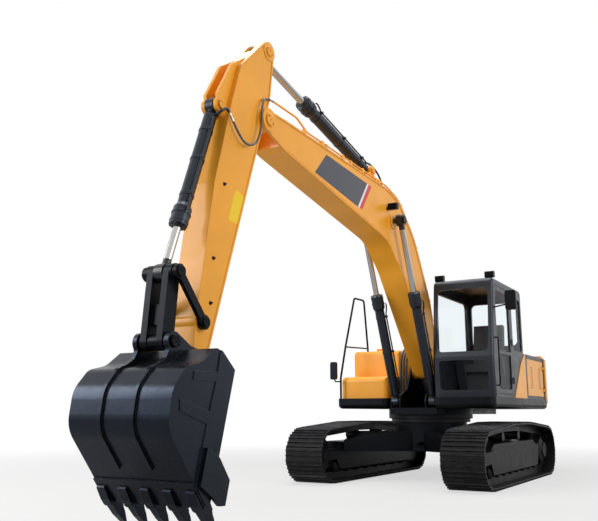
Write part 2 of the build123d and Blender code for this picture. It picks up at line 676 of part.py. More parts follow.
with BuildPart() as house_frame:
    with BuildSketch(Plane.XY.offset(RING_HEIGHT + PIN_GAP)):
        with BuildLine():
            Polyline(
                (DECK_REAR, -SPINE_HALF_WIDTH),
                (SPINE_FRONT - 160, -SPINE_HALF_WIDTH),
                (SPINE_FRONT, -SPINE_HALF_WIDTH + 60),
                (SPINE_FRONT, SPINE_HALF_WIDTH - 60),
                (SPINE_FRONT - 160, SPINE_HALF_WIDTH),
                (DECK_REAR, SPINE_HALF_WIDTH),
                close=True,
            )
        make_face()
        Circle(RING_RADIUS)
    extrude(amount=SPINE_HIGH - RING_HEIGHT - PIN_GAP)
    for side, front in ((1, DECK_FRONT_LEFT), (-1, DECK_FRONT_RIGHT)):
        add(deck(side, front))
    for side in (-1, 1):
        with BuildSketch(side_plane(side * (CHEEK_INNER + CHEEK_PLATE / 2))):
            with BuildLine():
                Polyline(
                    (CHEEK_REAR, SPINE_HIGH - 10),
                    (SPINE_FRONT, SPINE_HIGH - 10),
                    (BOOM_CYLINDER_BASE[0] + 112, BOOM_CYLINDER_BASE[1]),
                    (BOOM_CYLINDER_BASE[0] + 20, BOOM_CYLINDER_BASE[1] + 110),
                    (CHEEK_HIGH - 940, CHEEK_HIGH),
                    (BOOM_FOOT[0] + 150, BOOM_FOOT[1]),
                    (BOOM_FOOT[0] - 150, BOOM_FOOT[1]),
                    (BOOM_FOOT[0] - 420, CHEEK_HIGH),
                    (CHEEK_REAR, SPINE_HIGH + 100),
                    close=True,
                )
            make_face()
            for pin, radius in ((BOOM_FOOT, 150), (BOOM_CYLINDER_BASE, 112)):
                with Locations(pin):
                    Circle(radius)
        extrude(amount=CHEEK_PLATE / 2, both=True)
        with BuildSketch(side_plane(side * (CYLINDER_OUTER + MOVING_GAP + BRACKET_PLATE / 2))):
            with BuildLine():
                Polyline(
                    (BOOM_CYLINDER_BASE[0] - 260, SPINE_HIGH - 10),
                    (BOOM_CYLINDER_BASE[0] + 60, SPINE_HIGH - 10),
                    (BOOM_CYLINDER_BASE[0] + 66, BOOM_CYLINDER_BASE[1]),
                    (BOOM_CYLINDER_BASE[0] - 66, BOOM_CYLINDER_BASE[1]),
                    close=True,
                )
            make_face()
            with Locations(BOOM_CYLINDER_BASE):
                Circle(66)
        extrude(amount=BRACKET_PLATE / 2, both=True)
        with BuildSketch(side_plane(side * CHEEK_INNER)):
            with Locations(BOOM_CYLINDER_BASE):
                Circle(CYLINDER_PIN_RADIUS)
        extrude(amount=-side * (CYLINDER_OUTER + MOVING_GAP + BRACKET_PLATE - CHEEK_INNER + 8))
    with BuildSketch(side_plane(0)):
        with Locations(BOOM_FOOT):
            Circle(FOOT_PIN_RADIUS)
    extrude(amount=CHEEK_INNER + CHEEK_PLATE + 15, both=True)
house_frame.part.label = "house_frame"
export_step(house_frame.part, "parts/house_frame.step")

# ---------------------------------------------------------------- counterweight
with BuildPart() as counterweight:
    with BuildSketch(Plane.XY.offset(TAIL_LOW)):
        with BuildLine():
            Polyline(
                (TAIL_CORNER, HALF_WIDTH),
                (DECK_REAR - SEAT_GAP, HALF_WIDTH),
                (DECK_REAR - SEAT_GAP, -HALF_WIDTH),
                (TAIL_CORNER, -HALF_WIDTH),
            )
            ThreePointArc((TAIL_CORNER, -HALF_WIDTH), (-TAIL_RADIUS, 0), (TAIL_CORNER, HALF_WIDTH))
        make_face()
        fillet(vertices().filter_by(lambda v: abs(v.X - TAIL_CORNER) < 1), radius=TAIL_ROUND)
    extrude(amount=TAIL_HIGH - TAIL_LOW)
    chamfer(edges().group_by(Axis.Z)[-1].filter_by(lambda e: e.center().X < DECK_REAR - 10), TAIL_EDGE)
    chamfer(edges().group_by(Axis.Z)[0].filter_by(lambda e: e.center().X < DECK_REAR - 10), TAIL_EDGE * 1.6)
counterweight.part.label = "counterweight"
export_step(counterweight.part, "parts/counterweight.step")

# ---------------------------------------------------------------- engine bay
BAY_REAR = DECK_REAR
BAY_HALF = HALF_WIDTH - SIDE_INSET
BAY_LOW = DECK_HIGH + SEAT_GAP
ENGINE_MIDDLE = (BAY_REAR + BAY_FRONT) / 2
with BuildPart() as engine:
    with BuildSketch(Plane.XY.offset(ENGINE_LOW)):
        with Locations((ENGINE_MIDDLE, 0)):
            Rectangle(ENGINE_LENGTH, ENGINE_WIDTH)
    extrude(amount=ENGINE_HEIGHT)
    with BuildSketch(Plane.XY.offset(BAY_LOW)):
        with Locations((ENGINE_MIDDLE, 0)):
            with GridLocations(ENGINE_LENGTH - 120, ENGINE_WIDTH - 120, 2, 2):
                Rectangle(90, 90)
    extrude(amount=ENGINE_LOW - BAY_LOW)
engine.part.label = "engine"
export_step(engine.part, "parts/engine.step")



def hinges(planes, leaf, on_frame):
    """Hinges about the normals of some planes: the frame's two knuckles with the pin in them, or
    the knuckle between them on what swings. The leaf beside the axis is (x, y, width, height)."""
    middle = KNUCKLE_LENGTH / 2
    spans = ((-HINGE_LENGTH / 2, -middle), (middle, HINGE_LENGTH / 2))
    if not on_frame:
        spans = ((-middle + PIN_GAP, middle - PIN_GAP),)
    with BuildPart() as made:
        for plane in planes:
            for low, high in spans:
                with BuildSketch(plane.offset(low)):
                    Circle(KNUCKLE_RADIUS)
                    with Locations(leaf[:2]):
                        Rectangle(*leaf[2:])
                    if not on_frame:
                        Circle(HINGE_PIN_RADIUS + PIN_GAP, mode=Mode.SUBTRACT)
                extrude(amount=high - low)
            if on_frame:
                with BuildSketch(plane.offset(-HINGE_LENGTH / 2)):
                    Circle(HINGE_PIN_RADIUS)
                extrude(amount=HINGE_LENGTH)
    return made.part


def door_hinges(x, face, side, way, heights):
    """Hinges on an upright axis just outside a wall's face. Way 1 gives what is on the door, in
    front of the axis, and -1 what is on the frame behind it."""
    planes = [
        Plane(origin=(x, side * (face + HINGE_PROUD), height), x_dir=(1, 0, 0), z_dir=(0, 0, 1))
        for height in heights
    ]
    middle = (HINGE_LEAF + LEAF_GAP) / 2
    leaf = (way * middle, side * (LEAF_PLATE / 2 - HINGE_PROUD), HINGE_LEAF - LEAF_GAP, LEAF_PLATE)
    return hinges(planes, leaf, way < 0)


# The bay is a frame of front wall, corner posts and top rails, open at the sides, the top and
# below. Two side doors and a hinged hood close it.
DOOR_LOW = BAY_LOW + BAY_POST * 0.5
DOOR_HIGH = BAY_HIGH - BAY_POST * 0.7
SIDE_DOORS = (
    # name, side, front edge
    ("left", 1, BAY_FRONT - BAY_POST),
    ("right", -1, BAY_FRONT - BAY_POST),
)
DOOR_REAR = BAY_REAR + BAY_POST
HOOD_FRONT = BAY_FRONT - HOOD_MARGIN
HOOD_REAR = BAY_REAR + HOOD_MARGIN
HOOD_HALF = BAY_HALF - 2 * HOOD_MARGIN
HOOD_LOW = BAY_HIGH + MOVING_GAP
HOOD_HINGES = [
    Plane(
        origin=(HOOD_FRONT + HINGE_PROUD, across, BAY_HIGH + HINGE_PROUD),
        x_dir=(1, 0, 0),
        z_dir=(0, -1, 0),
    )
    for across in (-HOOD_HALF * 0.6, HOOD_HALF * 0.6)
]
DOOR_HINGES = (DOOR_LOW + 120, DOOR_HIGH - 120)
with BuildPart() as engine_bay:
    with BuildSketch(Plane.XY.offset(BAY_LOW)):
        with Locations((ENGINE_MIDDLE, 0)):
            Rectangle(BAY_FRONT - BAY_REAR, 2 * BAY_HALF)
    extrude(amount=BAY_HIGH - BAY_LOW)
    with BuildSketch(Plane.XY.offset(BAY_LOW)):
        with Locations((ENGINE_MIDDLE - BAY_WALL / 2, 0)):
            Rectangle(BAY_FRONT - BAY_REAR - BAY_WALL, 2 * (BAY_HALF - BAY_WALL))
    extrude(amount=BAY_HIGH - BAY_LOW - BAY_WALL, mode=Mode.SUBTRACT)
    for name, side, front in SIDE_DOORS:
        with BuildSketch(side_plane(side * (BAY_HALF - BAY_WALL / 2))):
            with Locations(((front + DOOR_REAR) / 2, (DOOR_LOW + DOOR_HIGH) / 2)):
                Rectangle(front - DOOR_REAR, DOOR_HIGH - DOOR_LOW)
        extrude(amount=BAY_WALL, both=True, mode=Mode.SUBTRACT)
    with BuildSketch(Plane.XY.offset(BAY_HIGH - BAY_WALL)):
        with Locations(((HOOD_FRONT + HOOD_REAR) / 2, 0)):
            Rectangle(HOOD_FRONT - HOOD_REAR - BAY_POST, 2 * HOOD_HALF - BAY_POST)
    extrude(amount=BAY_WALL, mode=Mode.SUBTRACT)
    for name, side, front in SIDE_DOORS:
        add(door_hinges(DOOR_REAR, BAY_HALF, side, -1, DOOR_HINGES))
    frame_leaf = (HINGE_LEAF / 2, LEAF_PLATE / 2 - HINGE_PROUD, HINGE_LEAF - LEAF_GAP, LEAF_PLATE)
    add(hinges(HOOD_HINGES, frame_leaf, True))
engine_bay.part.label = "engine_bay"
export_step(engine_bay.part, "parts/engine_bay.step")

for name, side, front in SIDE_DOORS:
    with BuildPart() as bay_door:
        with BuildSketch(side_plane(side * (BAY_HALF - DOOR_PLATE / 2))):
            with Locations(((front + DOOR_REAR) / 2, (DOOR_LOW + DOOR_HIGH) / 2)):
                Rectangle(front - DOOR_REAR - 2 * MOVING_GAP, DOOR_HIGH - DOOR_LOW - 2 * MOVING_GAP)
        extrude(amount=DOOR_PLATE / 2, both=True)
        with BuildSketch(side_plane(side * BAY_HALF)):
            with Locations(((front + DOOR_REAR) / 2, (DOOR_LOW + DOOR_HIGH) / 2)):
                with GridLocations((front - DOOR_REAR) / 2, LOUVRE_PITCH, 2, LOUVRE_COUNT):
                    SlotOverall(LOUVRE_WIDTH, LOUVRE_HEIGHT)
        extrude(amount=side * LOUVRE_DEPTH, mode=Mode.SUBTRACT)
        add(door_hinges(DOOR_REAR, BAY_HALF, side, 1, DOOR_HINGES))
    bay_door.part.label = f"bay_door_{name}"
    export_step(bay_door.part, f"parts/bay_door_{name}.step")

with BuildPart() as hood:
    with BuildSketch(Plane.XY.offset(HOOD_LOW)):
        with Locations(((HOOD_FRONT + HOOD_REAR) / 2, 0)):
            Rectangle(HOOD_FRONT - HOOD_REAR, 2 * HOOD_HALF)
    extrude(amount=HOOD_HEIGHT)
    chamfer(edges().group_by(Axis.Z)[-1], HOOD_HEIGHT * 0.6)
    with BuildSketch(Plane.XY.offset(HOOD_LOW)):
        with Locations(((HOOD_FRONT + HOOD_REAR) / 2, 0)):
            Rectangle(HOOD_FRONT - HOOD_REAR - 2 * HOOD_WALL, 2 * HOOD_HALF - 2 * HOOD_WALL)
    extrude(amount=HOOD_HEIGHT - HOOD_SKIN, mode=Mode.SUBTRACT)
    with BuildSketch(Plane.XY.offset(HOOD_LOW + HOOD_HEIGHT)):
        with Locations(((HOOD_FRONT + HOOD_REAR) / 2, 0)):
            with GridLocations(LOUVRE_PITCH, HOOD_HALF, LOUVRE_COUNT, 2):
                SlotOverall(LOUVRE_WIDTH, LOUVRE_HEIGHT, rotation=90)
    extrude(amount=-HOOD_SKIN / 2, mode=Mode.SUBTRACT)
    add(hinges(HOOD_HINGES, (-KNUCKLE_RADIUS, 0, 2 * KNUCKLE_RADIUS - 2 * LEAF_GAP, LEAF_PLATE), False))
hood.part.label = "engine_hood"
export_step(hood.part, "parts/engine_hood.step")

# A thin cover on the left stands in front of the bay and hides the cab's lower rear corner. Its
# front edge leans back as it rises.
COVER_INNER = CAB_OUTER + SEAT_GAP
with BuildPart() as side_cover:
    with BuildSketch(side_plane(COVER_INNER)):
        with BuildLine():
            Polyline(
                (BAY_FRONT + SEAT_GAP, BAY_LOW),
                (COVER_LOW_FRONT, BAY_LOW),
                (COVER_HIGH_FRONT, COVER_BEND_HEIGHT),
                (CAB_REAR, BAY_HIGH),
                (BAY_FRONT + SEAT_GAP, BAY_HIGH),
                close=True,
            )
        make_face()
    extrude(amount=-(BAY_HALF - COVER_INNER))
side_cover.part.label = "side_cover"
export_step(side_cover.part, "parts/side_cover.step")

# ---------------------------------------------------------------- tank and front box
TANK_REAR = BAY_FRONT + SEAT_GAP
TANK_MIDDLE = -(BAY_HALF + TANK_INNER) / 2
TANK_HALF = (BAY_HALF - TANK_INNER) / 2
with BuildPart() as fuel_tank:
    with BuildSketch(side_plane(TANK_MIDDLE)):
        with BuildLine():
            Polyline(
                (TANK_REAR, BAY_LOW),
                (TANK_FRONT, BAY_LOW),
                (TANK_FRONT, TANK_HIGH),
                (TANK_REAR, TANK_HIGH),
                close=True,
            )
        make_face()
        fillet(vertices().filter_by(lambda v: v.X > 0 and v.Y > BOX_HIGH), radius=TANK_ROUND)
    extrude(amount=TANK_HALF, both=True)
    fillet(edges().filter_by(Axis.X).group_by(Axis.Z)[-1], TANK_ROUND * 0.6)
    with BuildSketch(Plane.XY.offset(TANK_HIGH)):
        with Locations((TANK_FRONT - TANK_ROUND - 2 * CAP_RADIUS, TANK_MIDDLE)):
            Circle(CAP_RADIUS)
    extrude(amount=CAP_RADIUS * 0.6)
fuel_tank.part.label = "fuel_tank"
export_step(fuel_tank.part, "parts/fuel_tank.step")

with BuildPart() as front_box:
    with BuildSketch(side_plane(TANK_MIDDLE)):
        with BuildLine():
            Polyline(
                (TANK_FRONT + SEAT_GAP, BAY_LOW),
                (BOX_FRONT, BAY_LOW),
                (BOX_FRONT, BOX_HIGH),
                (TANK_FRONT + SEAT_GAP, BOX_HIGH),
                close=True,
            )
        make_face()
    extrude(amount=TANK_HALF, both=True)
    upright = edges().filter_by(Axis.Z).group_by(Axis.X)[-1]
    top_front = edges().filter_by(Axis.Y).group_by(Axis.Z)[-1].sort_by(Axis.X)[-1:]
    top_side = edges().filter_by(Axis.X).group_by(Axis.Z)[-1].sort_by(Axis.Y)[:1]
    fillet(upright + top_front + top_side, BOX_ROUND)
front_box.part.label = "front_box"
export_step(front_box.part, "parts/front_box.step")

# A bent rail rises from the deck in front of the box and comes down on the tank, with a bar
# across it.
with BuildLine(side_plane(RAIL_ACROSS)) as rail_path:
    FilletPolyline(
        (RAIL_FRONT, BAY_LOW),
        (RAIL_FRONT, RAIL_KNEE),
        RAIL_CROSS_FRONT,
        RAIL_TOP_FRONT,
        RAIL_TOP_REAR,
        RAIL_CROSS_REAR,
        (RAIL_CROSS_REAR[0], TANK_HIGH + SEAT_GAP),
        radius=RAIL_BEND,
    )
with BuildLine(side_plane(RAIL_ACROSS)) as bar_path:
    Line(RAIL_CROSS_FRONT, RAIL_CROSS_REAR)

# Grab rail on the cab's front post beside the door
with BuildLine(Plane.YZ.offset(GRAB_X)) as grab_path:
    FilletPolyline(
        (CAB_OUTER + SEAT_GAP, GRAB_LOW),
        (CAB_OUTER + GRAB_OUT, GRAB_LOW),
        (CAB_OUTER + GRAB_OUT, GRAB_HIGH),
        (CAB_OUTER + SEAT_GAP, GRAB_HIGH),
        radius=2 * BRACKET_RADIUS,
    )
with BuildPart() as handrails:
    add(tube(rail_path, HANDRAIL_RADIUS))
    add(tube(bar_path, HANDRAIL_RADIUS * 0.75))
    add(tube(grab_path, BRACKET_RADIUS))
handrails.part.label = "handrails"
export_step(handrails.part, "parts/handrails.step")

# Hydraulic gear on the spine behind the boom: swing motor on the ring and the valve block.
with BuildPart() as swing_motor:
    with BuildSketch(Plane.XY.offset(SPINE_HIGH + SEAT_GAP)):
        with Locations((-430, 0)):
            Circle(150)
    extrude(amount=330)
    with BuildSketch(Plane.XY.offset(SPINE_HIGH + SEAT_GAP + 330)):
        with Locations((-430, 0)):
            Circle(100)
    extrude(amount=170)
swing_motor.part.label = "swing_motor"
export_step(swing_motor.part, "parts/swing_motor.step")

with BuildPart() as valve_block:
    with BuildSketch(Plane.XY.offset(SPINE_HIGH + SEAT_GAP)):
        with Locations((-745, 0)):
            Rectangle(230, 2 * CHEEK_INNER - 30)
    extrude(amount=480)
valve_block.part.label = "valve_block"
export_step(valve_block.part, "parts/valve_block.step")

# ---------------------------------------------------------------- cab
CAB_LOW = DECK_HIGH + SEAT_GAP
CAB_MIDDLE = (CAB_INNER + CAB_OUTER) / 2
CAB_OUTLINE = (
    (CAB_REAR, CAB_LOW),
    (CAB_FRONT_LOW, CAB_LOW),
    (CAB_FRONT_BELLY, CAB_BELLY_HEIGHT),
    (CAB_FRONT_HIGH, CAB_HIGH),
    (CAB_REAR, CAB_HIGH),
)
# Window openings: name, face, middle across (x or y), middle height, width, height, corner
WINDOWS = (
    ("upper_front", "front", CAB_MIDDLE, 2405.0, 790.0, 960.0, 80.0),
    ("lower_front", "front", CAB_MIDDLE, 1575.0, 740.0, 440.0, 70.0),
    ("right", "right", -20.0, 2370.0, 1450.0, 960.0, 90.0),
    ("rear", "rear", CAB_MIDDLE, 2490.0, 760.0, 720.0, 80.0),
    ("left_rear", "left", -520.0, 2430.0, 560.0, 850.0, 80.0),
)


def window_cutter(face, across, height, width, tall, corner, trim):
    """One window's opening as a solid through its wall, smaller all round by the trim."""
    reach = 2 * CAB_ROUND + CAB_WALL
    planes = {
        "front": (Plane(origin=(CAB_FRONT_HIGH - reach, 0, 0), x_dir=(0, 1, 0), z_dir=(1, 0, 0)), 1),
        "rear": (Plane(origin=(CAB_REAR + reach, 0, 0), x_dir=(0, 1, 0), z_dir=(1, 0, 0)), -1),
        "right": (side_plane(CAB_INNER + reach), 1),
        "left": (side_plane(CAB_OUTER - reach), -1),
    }
    plane, way = planes[face]
    with BuildPart() as cutter:
        with BuildSketch(plane):
            with Locations((across, height)):
                RectangleRounded(width - 2 * trim, tall - 2 * trim, corner - trim)
        extrude(amount=way * 2 * reach)
    return cutter.part


with BuildPart() as cab_shape:
    with BuildSketch(side_plane(CAB_MIDDLE)):
        with BuildLine():
            Polyline(*CAB_OUTLINE, close=True)
        make_face()
        fillet(vertices().filter_by(lambda v: v.Y > CAB_BELLY_HEIGHT - 10), radius=CAB_ROUND)
    extrude(amount=(CAB_OUTER - CAB_INNER) / 2, both=True)
    fillet(edges().filter_by(Axis.Z), radius=CAB_ROUND * 0.5)

CAB_DOOR_MIDDLE = (CAB_DOOR_REAR + CAB_DOOR_FRONT) / 2
CAB_DOOR_WIDTH = CAB_DOOR_FRONT - CAB_DOOR_REAR
CAB_DOOR_TALL = CAB_DOOR_HIGH - CAB_DOOR_LOW
CAB_DOOR_HEIGHT = (CAB_DOOR_LOW + CAB_DOOR_HIGH) / 2
CAB_DOOR_HINGES = (CAB_DOOR_LOW + 220, CAB_DOOR_HEIGHT, CAB_DOOR_HIGH - 220)
with BuildPart() as cab_shell:
    add(cab_shape.part)
    with BuildSketch(side_plane(CAB_MIDDLE)):
        with BuildLine():
            Polyline(*CAB_OUTLINE, close=True)
        make_face()
        offset(amount=-CAB_WALL)
    extrude(amount=(CAB_OUTER - CAB_INNER) / 2 - CAB_WALL, both=True, mode=Mode.SUBTRACT)
    for name, face, across, height, width, tall, corner in WINDOWS:
        add(window_cutter(face, across, height, width, tall, corner, 0), mode=Mode.SUBTRACT)
    with BuildSketch(side_plane(CAB_OUTER - CAB_WALL - 10)):
        with Locations((CAB_DOOR_MIDDLE, CAB_DOOR_HEIGHT)):
            RectangleRounded(CAB_DOOR_WIDTH, CAB_DOOR_TALL, 80)
    extrude(amount=-2 * CAB_WALL, mode=Mode.SUBTRACT)
    add(door_hinges(CAB_DOOR_REAR, CAB_OUTER, 1, -1, CAB_DOOR_HINGES))
cab_shell.part.label = "cab_shell"
export_step(cab_shell.part, "parts/cab_shell.step")

with BuildPart() as pane_layer:
    with BuildSketch(side_plane(CAB_MIDDLE)):
        with BuildLine():
            Polyline(*CAB_OUTLINE, close=True)
        make_face()
        offset(amount=-GLASS_DEPTH)
    extrude(amount=(CAB_OUTER - CAB_INNER) / 2 - GLASS_DEPTH, both=True)
    with BuildSketch(side_plane(CAB_MIDDLE)):
        with BuildLine():
            Polyline(*CAB_OUTLINE, close=True)
        make_face()
        offset(amount=-GLASS_DEPTH - GLASS)
    extrude(amount=(CAB_OUTER - CAB_INNER) / 2 - GLASS_DEPTH - GLASS, both=True, mode=Mode.SUBTRACT)

with BuildPart() as cab_glass:
    for name, face, across, height, width, tall, corner in WINDOWS:
        add(window_cutter(face, across, height, width, tall, corner, SEAT_GAP))
    add(pane_layer.part, mode=Mode.INTERSECT)
cab_glass.part.label = "cab_glass"
export_step(cab_glass.part, "parts/cab_glass.step")

# The door fills its opening: a frame round one tall pane.
with BuildPart() as cab_door:
    with BuildSketch(side_plane(CAB_OUTER - CAB_DOOR_PLATE / 2)):
        with Locations((CAB_DOOR_MIDDLE, CAB_DOOR_HEIGHT)):
            RectangleRounded(CAB_DOOR_WIDTH - 2 * MOVING_GAP, CAB_DOOR_TALL - 2 * MOVING_GAP, 80 - MOVING_GAP)
            RectangleRounded(
                CAB_DOOR_WIDTH - 2 * CAB_DOOR_FRAME,
                CAB_DOOR_TALL - 2 * CAB_DOOR_FRAME,
                60,
                mode=Mode.SUBTRACT,
            )
        with Locations((CAB_DOOR_MIDDLE, CAB_DOOR_RAIL)):
            Rectangle(CAB_DOOR_WIDTH - CAB_DOOR_FRAME, CAB_DOOR_RAIL_WIDTH)
    extrude(amount=CAB_DOOR_PLATE / 2, both=True)
    add(door_hinges(CAB_DOOR_REAR, CAB_OUTER, 1, 1, CAB_DOOR_HINGES))
cab_door.part.label = "cab_door"
export_step(cab_door.part, "parts/cab_door.step")

with BuildPart() as door_glass:
    with BuildSketch(side_plane(CAB_OUTER - GLASS_DEPTH)):
        with Locations((CAB_DOOR_MIDDLE, CAB_DOOR_HEIGHT)):
            RectangleRounded(
                CAB_DOOR_WIDTH - 2 * CAB_DOOR_FRAME - 2 * SEAT_GAP,
                CAB_DOOR_TALL - 2 * CAB_DOOR_FRAME - 2 * SEAT_GAP,
                60 - SEAT_GAP,
            )
        with Locations((CAB_DOOR_MIDDLE, CAB_DOOR_RAIL)):
            Rectangle(CAB_DOOR_WIDTH, CAB_DOOR_RAIL_WIDTH + 2 * SEAT_GAP, mode=Mode.SUBTRACT)
    extrude(amount=GLASS)
door_glass.part.label = "door_glass"
export_step(door_glass.part, "parts/door_glass.step")

# Work lamps on short feet at the two front corners of the roof.
ROOF_FRONT = CAB_FRONT_HIGH - CAB_ROUND - LAMP_THICK / 2
with BuildPart() as cab_lamps:
    for y in (CAB_INNER + LAMP_WIDTH / 2, CAB_OUTER - LAMP_WIDTH / 2):
        with BuildSketch(side_plane(y)):
            with Locations((ROOF_FRONT, CAB_HIGH + SEAT_GAP + LAMP_TALL * 0.6)):
                RectangleRounded(LAMP_THICK, LAMP_TALL, 14)
        extrude(amount=LAMP_WIDTH / 2, both=True)
        with BuildSketch(Plane.XY.offset(CAB_HIGH + SEAT_GAP)):
            with Locations((ROOF_FRONT, y)):
                Rectangle(LAMP_THICK * 0.6, LAMP_WIDTH * 0.4)
        extrude(amount=LAMP_TALL * 0.3)
cab_lamps.part.label = "cab_lamps"
export_step(cab_lamps.part, "parts/cab_lamps.step")

# Mirrors: one on the cab's front post, clear of the door's swing, one on the handrail.
# foot, elbow, middle of the glass, width
MIRRORS = (
    ((790, CAB_OUTER + SEAT_GAP, 2570), (790, 1530, 2600), (790, 1600, 2660), 160.0),
    (
        (RAIL_FRONT, RAIL_ACROSS - HANDRAIL_RADIUS - SEAT_GAP, RAIL_KNEE - 60),
        (RAIL_FRONT, -1410, RAIL_KNEE - 60),
        (RAIL_FRONT, -1430, RAIL_KNEE + 120),
        115.0,
    ),
)
with BuildPart() as mirrors:
    for foot, elbow, middle, width in MIRRORS:
        with BuildLine() as bracket_path:
            FilletPolyline(foot, elbow, middle, radius=3 * BRACKET_RADIUS)
        add(tube(bracket_path, BRACKET_RADIUS))
        with BuildSketch(Plane(origin=middle, x_dir=(0, 1, 0), z_dir=(1, 0, 0))):
            RectangleRounded(width, MIRROR_TALL, 30)
        extrude(amount=MIRROR_THICK / 2, both=True)
mirrors.part.label = "mirrors"
export_step(mirrors.part, "parts/mirrors.step")

# Seat with its pedestal, and the two arm consoles.
SEAT_X = -260.0
CAB_FLOOR = CAB_LOW + CAB_WALL + SEAT_GAP
with BuildPart() as seat:
    with BuildSketch(side_plane(CAB_MIDDLE)):
        with BuildLine():
            Polyline(
                (SEAT_X - 230, CAB_FLOOR),
                (SEAT_X + 230, CAB_FLOOR),
                (SEAT_X + 200, CAB_FLOOR + 340),
                (SEAT_X + 300, CAB_FLOOR + 360),
                (SEAT_X + 300, CAB_FLOOR + 480),
                (SEAT_X - 120, CAB_FLOOR + 470),
                (SEAT_X - 250, CAB_FLOOR + 1150),
                (SEAT_X - 360, CAB_FLOOR + 1130),
                (SEAT_X - 250, CAB_FLOOR + 340),
                close=True,
            )
        make_face()
    extrude(amount=240, both=True)
seat.part.label = "seat"
export_step(seat.part, "parts/seat.step")

with BuildPart() as consoles:
    for side in (-1, 1):
        with BuildSketch(side_plane(CAB_MIDDLE + side * 315)):
            with BuildLine():
                Polyline(
                    (SEAT_X - 200, CAB_FLOOR),
                    (SEAT_X + 140, CAB_FLOOR),
                    (SEAT_X + 400, CAB_FLOOR + 560),
                    (SEAT_X + 380, CAB_FLOOR + 640),
                    (SEAT_X - 200, CAB_FLOOR + 600),
                    close=True,
                )
            make_face()
        extrude(amount=65, both=True)
consoles.part.label = "consoles"
export_step(consoles.part, "parts/consoles.step")

# ---------------------------------------------------------------- boom
# Underside of the arm's heel, which lies in a notch of the boom when the arm reaches out
ARM_HEEL = ((ARM_CYLINDER_EYE[0] - 60, ARM_CYLINDER_EYE[1] - 85), (-272, 34), (569, 8))
with BuildSketch() as boom_outline:
    with BuildLine():
        back = FilletPolyline(
            (-75, 130),
            (707, 879),
            (1623, 1411),
            (2346, 1592),
            (2812, 1476),
            (BOOM_LENGTH - 330, 297),
            radius=[1200, 1200, 700, 800],
        )
        belly = FilletPolyline(
            (BOOM_LENGTH - 440, -66),
            (2515, 753),
            (1930, 649),
            (1387, 425),
            (60, -138),
            radius=[700, 1000, 1000],
        )
        Polyline(
            back @ 1,
            (BOOM_LENGTH, BOOM_TIP_RADIUS),
            (BOOM_LENGTH, -BOOM_TIP_RADIUS),
            belly @ 0,
        )
        Line(belly @ 1, back @ 0)
    make_face()

# The flanges stand out past the side webs by the web's inset.
with BuildPart() as boom:
    with BuildSketch(link_plane(BOOM_FOOT, BOOM_ANGLE)):
        add(boom_outline.sketch)
    extrude(amount=BOOM_WIDTH / 2, both=True)
    for side in (-1, 1):
        with BuildSketch(link_plane(BOOM_FOOT, BOOM_ANGLE, side * (BOOM_WIDTH / 2 - WEB_INSET))):
            offset(boom_outline.sketch, amount=-FLANGE_EDGE)
        extrude(amount=-side * WEB_INSET, mode=Mode.SUBTRACT)
    with BuildSketch(link_plane(BOOM_FOOT, BOOM_ANGLE)):
        Circle(BOOM_FOOT_RADIUS)
    extrude(amount=CHEEK_INNER - SEAT_GAP, both=True)
    with BuildSketch(link_plane(BOOM_FOOT, BOOM_ANGLE)):
        Circle(FOOT_PIN_RADIUS + PIN_GAP)
    extrude(amount=CHEEK_INNER, both=True, mode=Mode.SUBTRACT)
    with BuildSketch(link_plane(BOOM_FOOT, BOOM_ANGLE)):
        with Locations((BOOM_LENGTH, 0)):
            Circle(BOOM_TIP_RADIUS)
    extrude(amount=BOOM_TIP_WIDTH / 2, both=True)
    with BuildSketch(link_plane(BOOM_FOOT, BOOM_ANGLE)):
        with Locations(BOOM_CYLINDER_EYE):
            Circle(115)
    extrude(amount=BOOM_WIDTH / 2 + 15, both=True)
    with BuildSketch(link_plane(BOOM_FOOT, BOOM_ANGLE)):
        with Locations((BOOM_LENGTH, 0)):
            Circle(BOOM_FORK_DEPTH)
    with BuildSketch(link_plane(ARM_PIN, ARM_REACH_ANGLE)):
        with BuildLine():
            Polyline(
                (ARM_HEEL[0][0] - MOVING_GAP, ARM_HEEL[0][1] + BOOM_FORK_DEPTH),
                (ARM_HEEL[0][0] - MOVING_GAP, ARM_HEEL[0][1] - 3 * MOVING_GAP),
                (ARM_HEEL[1][0], ARM_HEEL[1][1] - 3 * MOVING_GAP),
                (0, ARM_HEEL[1][1] - 3 * MOVING_GAP),
                (0, ARM_HEEL[0][1] + BOOM_FORK_DEPTH),
                close=True,
            )
        make_face()
    extrude(amount=FORK_INNER, both=True, mode=Mode.SUBTRACT)
    with BuildSketch(link_plane(BOOM_FOOT, BOOM_ANGLE)):
        with Locations((BOOM_LENGTH, 0)):
            Circle(ARM_PIN_RADIUS)
    extrude(amount=BOOM_TIP_WIDTH / 2, both=True)
    for side in (-1, 1):
        with BuildSketch(link_plane(BOOM_FOOT, BOOM_ANGLE, side * (EAR_INNER + EAR_PLATE / 2))):
            with BuildLine():
                Polyline(
                    (ARM_CYLINDER_BASE[0] - 290, ARM_CYLINDER_BASE[1] - 160),
                    (ARM_CYLINDER_BASE[0] + 130, ARM_CYLINDER_BASE[1] - 330),
                    (ARM_CYLINDER_BASE[0] + 55, ARM_CYLINDER_BASE[1] - 60),
                    (ARM_CYLINDER_BASE[0] - 80, ARM_CYLINDER_BASE[1]),
                    close=True,
                )
            make_face()
            with Locations(ARM_CYLINDER_BASE):
                Circle(82)
        extrude(amount=EAR_PLATE / 2, both=True)
    with BuildSketch(link_plane(BOOM_FOOT, BOOM_ANGLE)):
        with Locations(ARM_CYLINDER_BASE):
            Circle(CYLINDER_PIN_RADIUS)
    extrude(amount=EAR_INNER + EAR_PLATE + 10, both=True)
boom.part.label = "boom"
export_step(boom.part, "parts/boom.step")

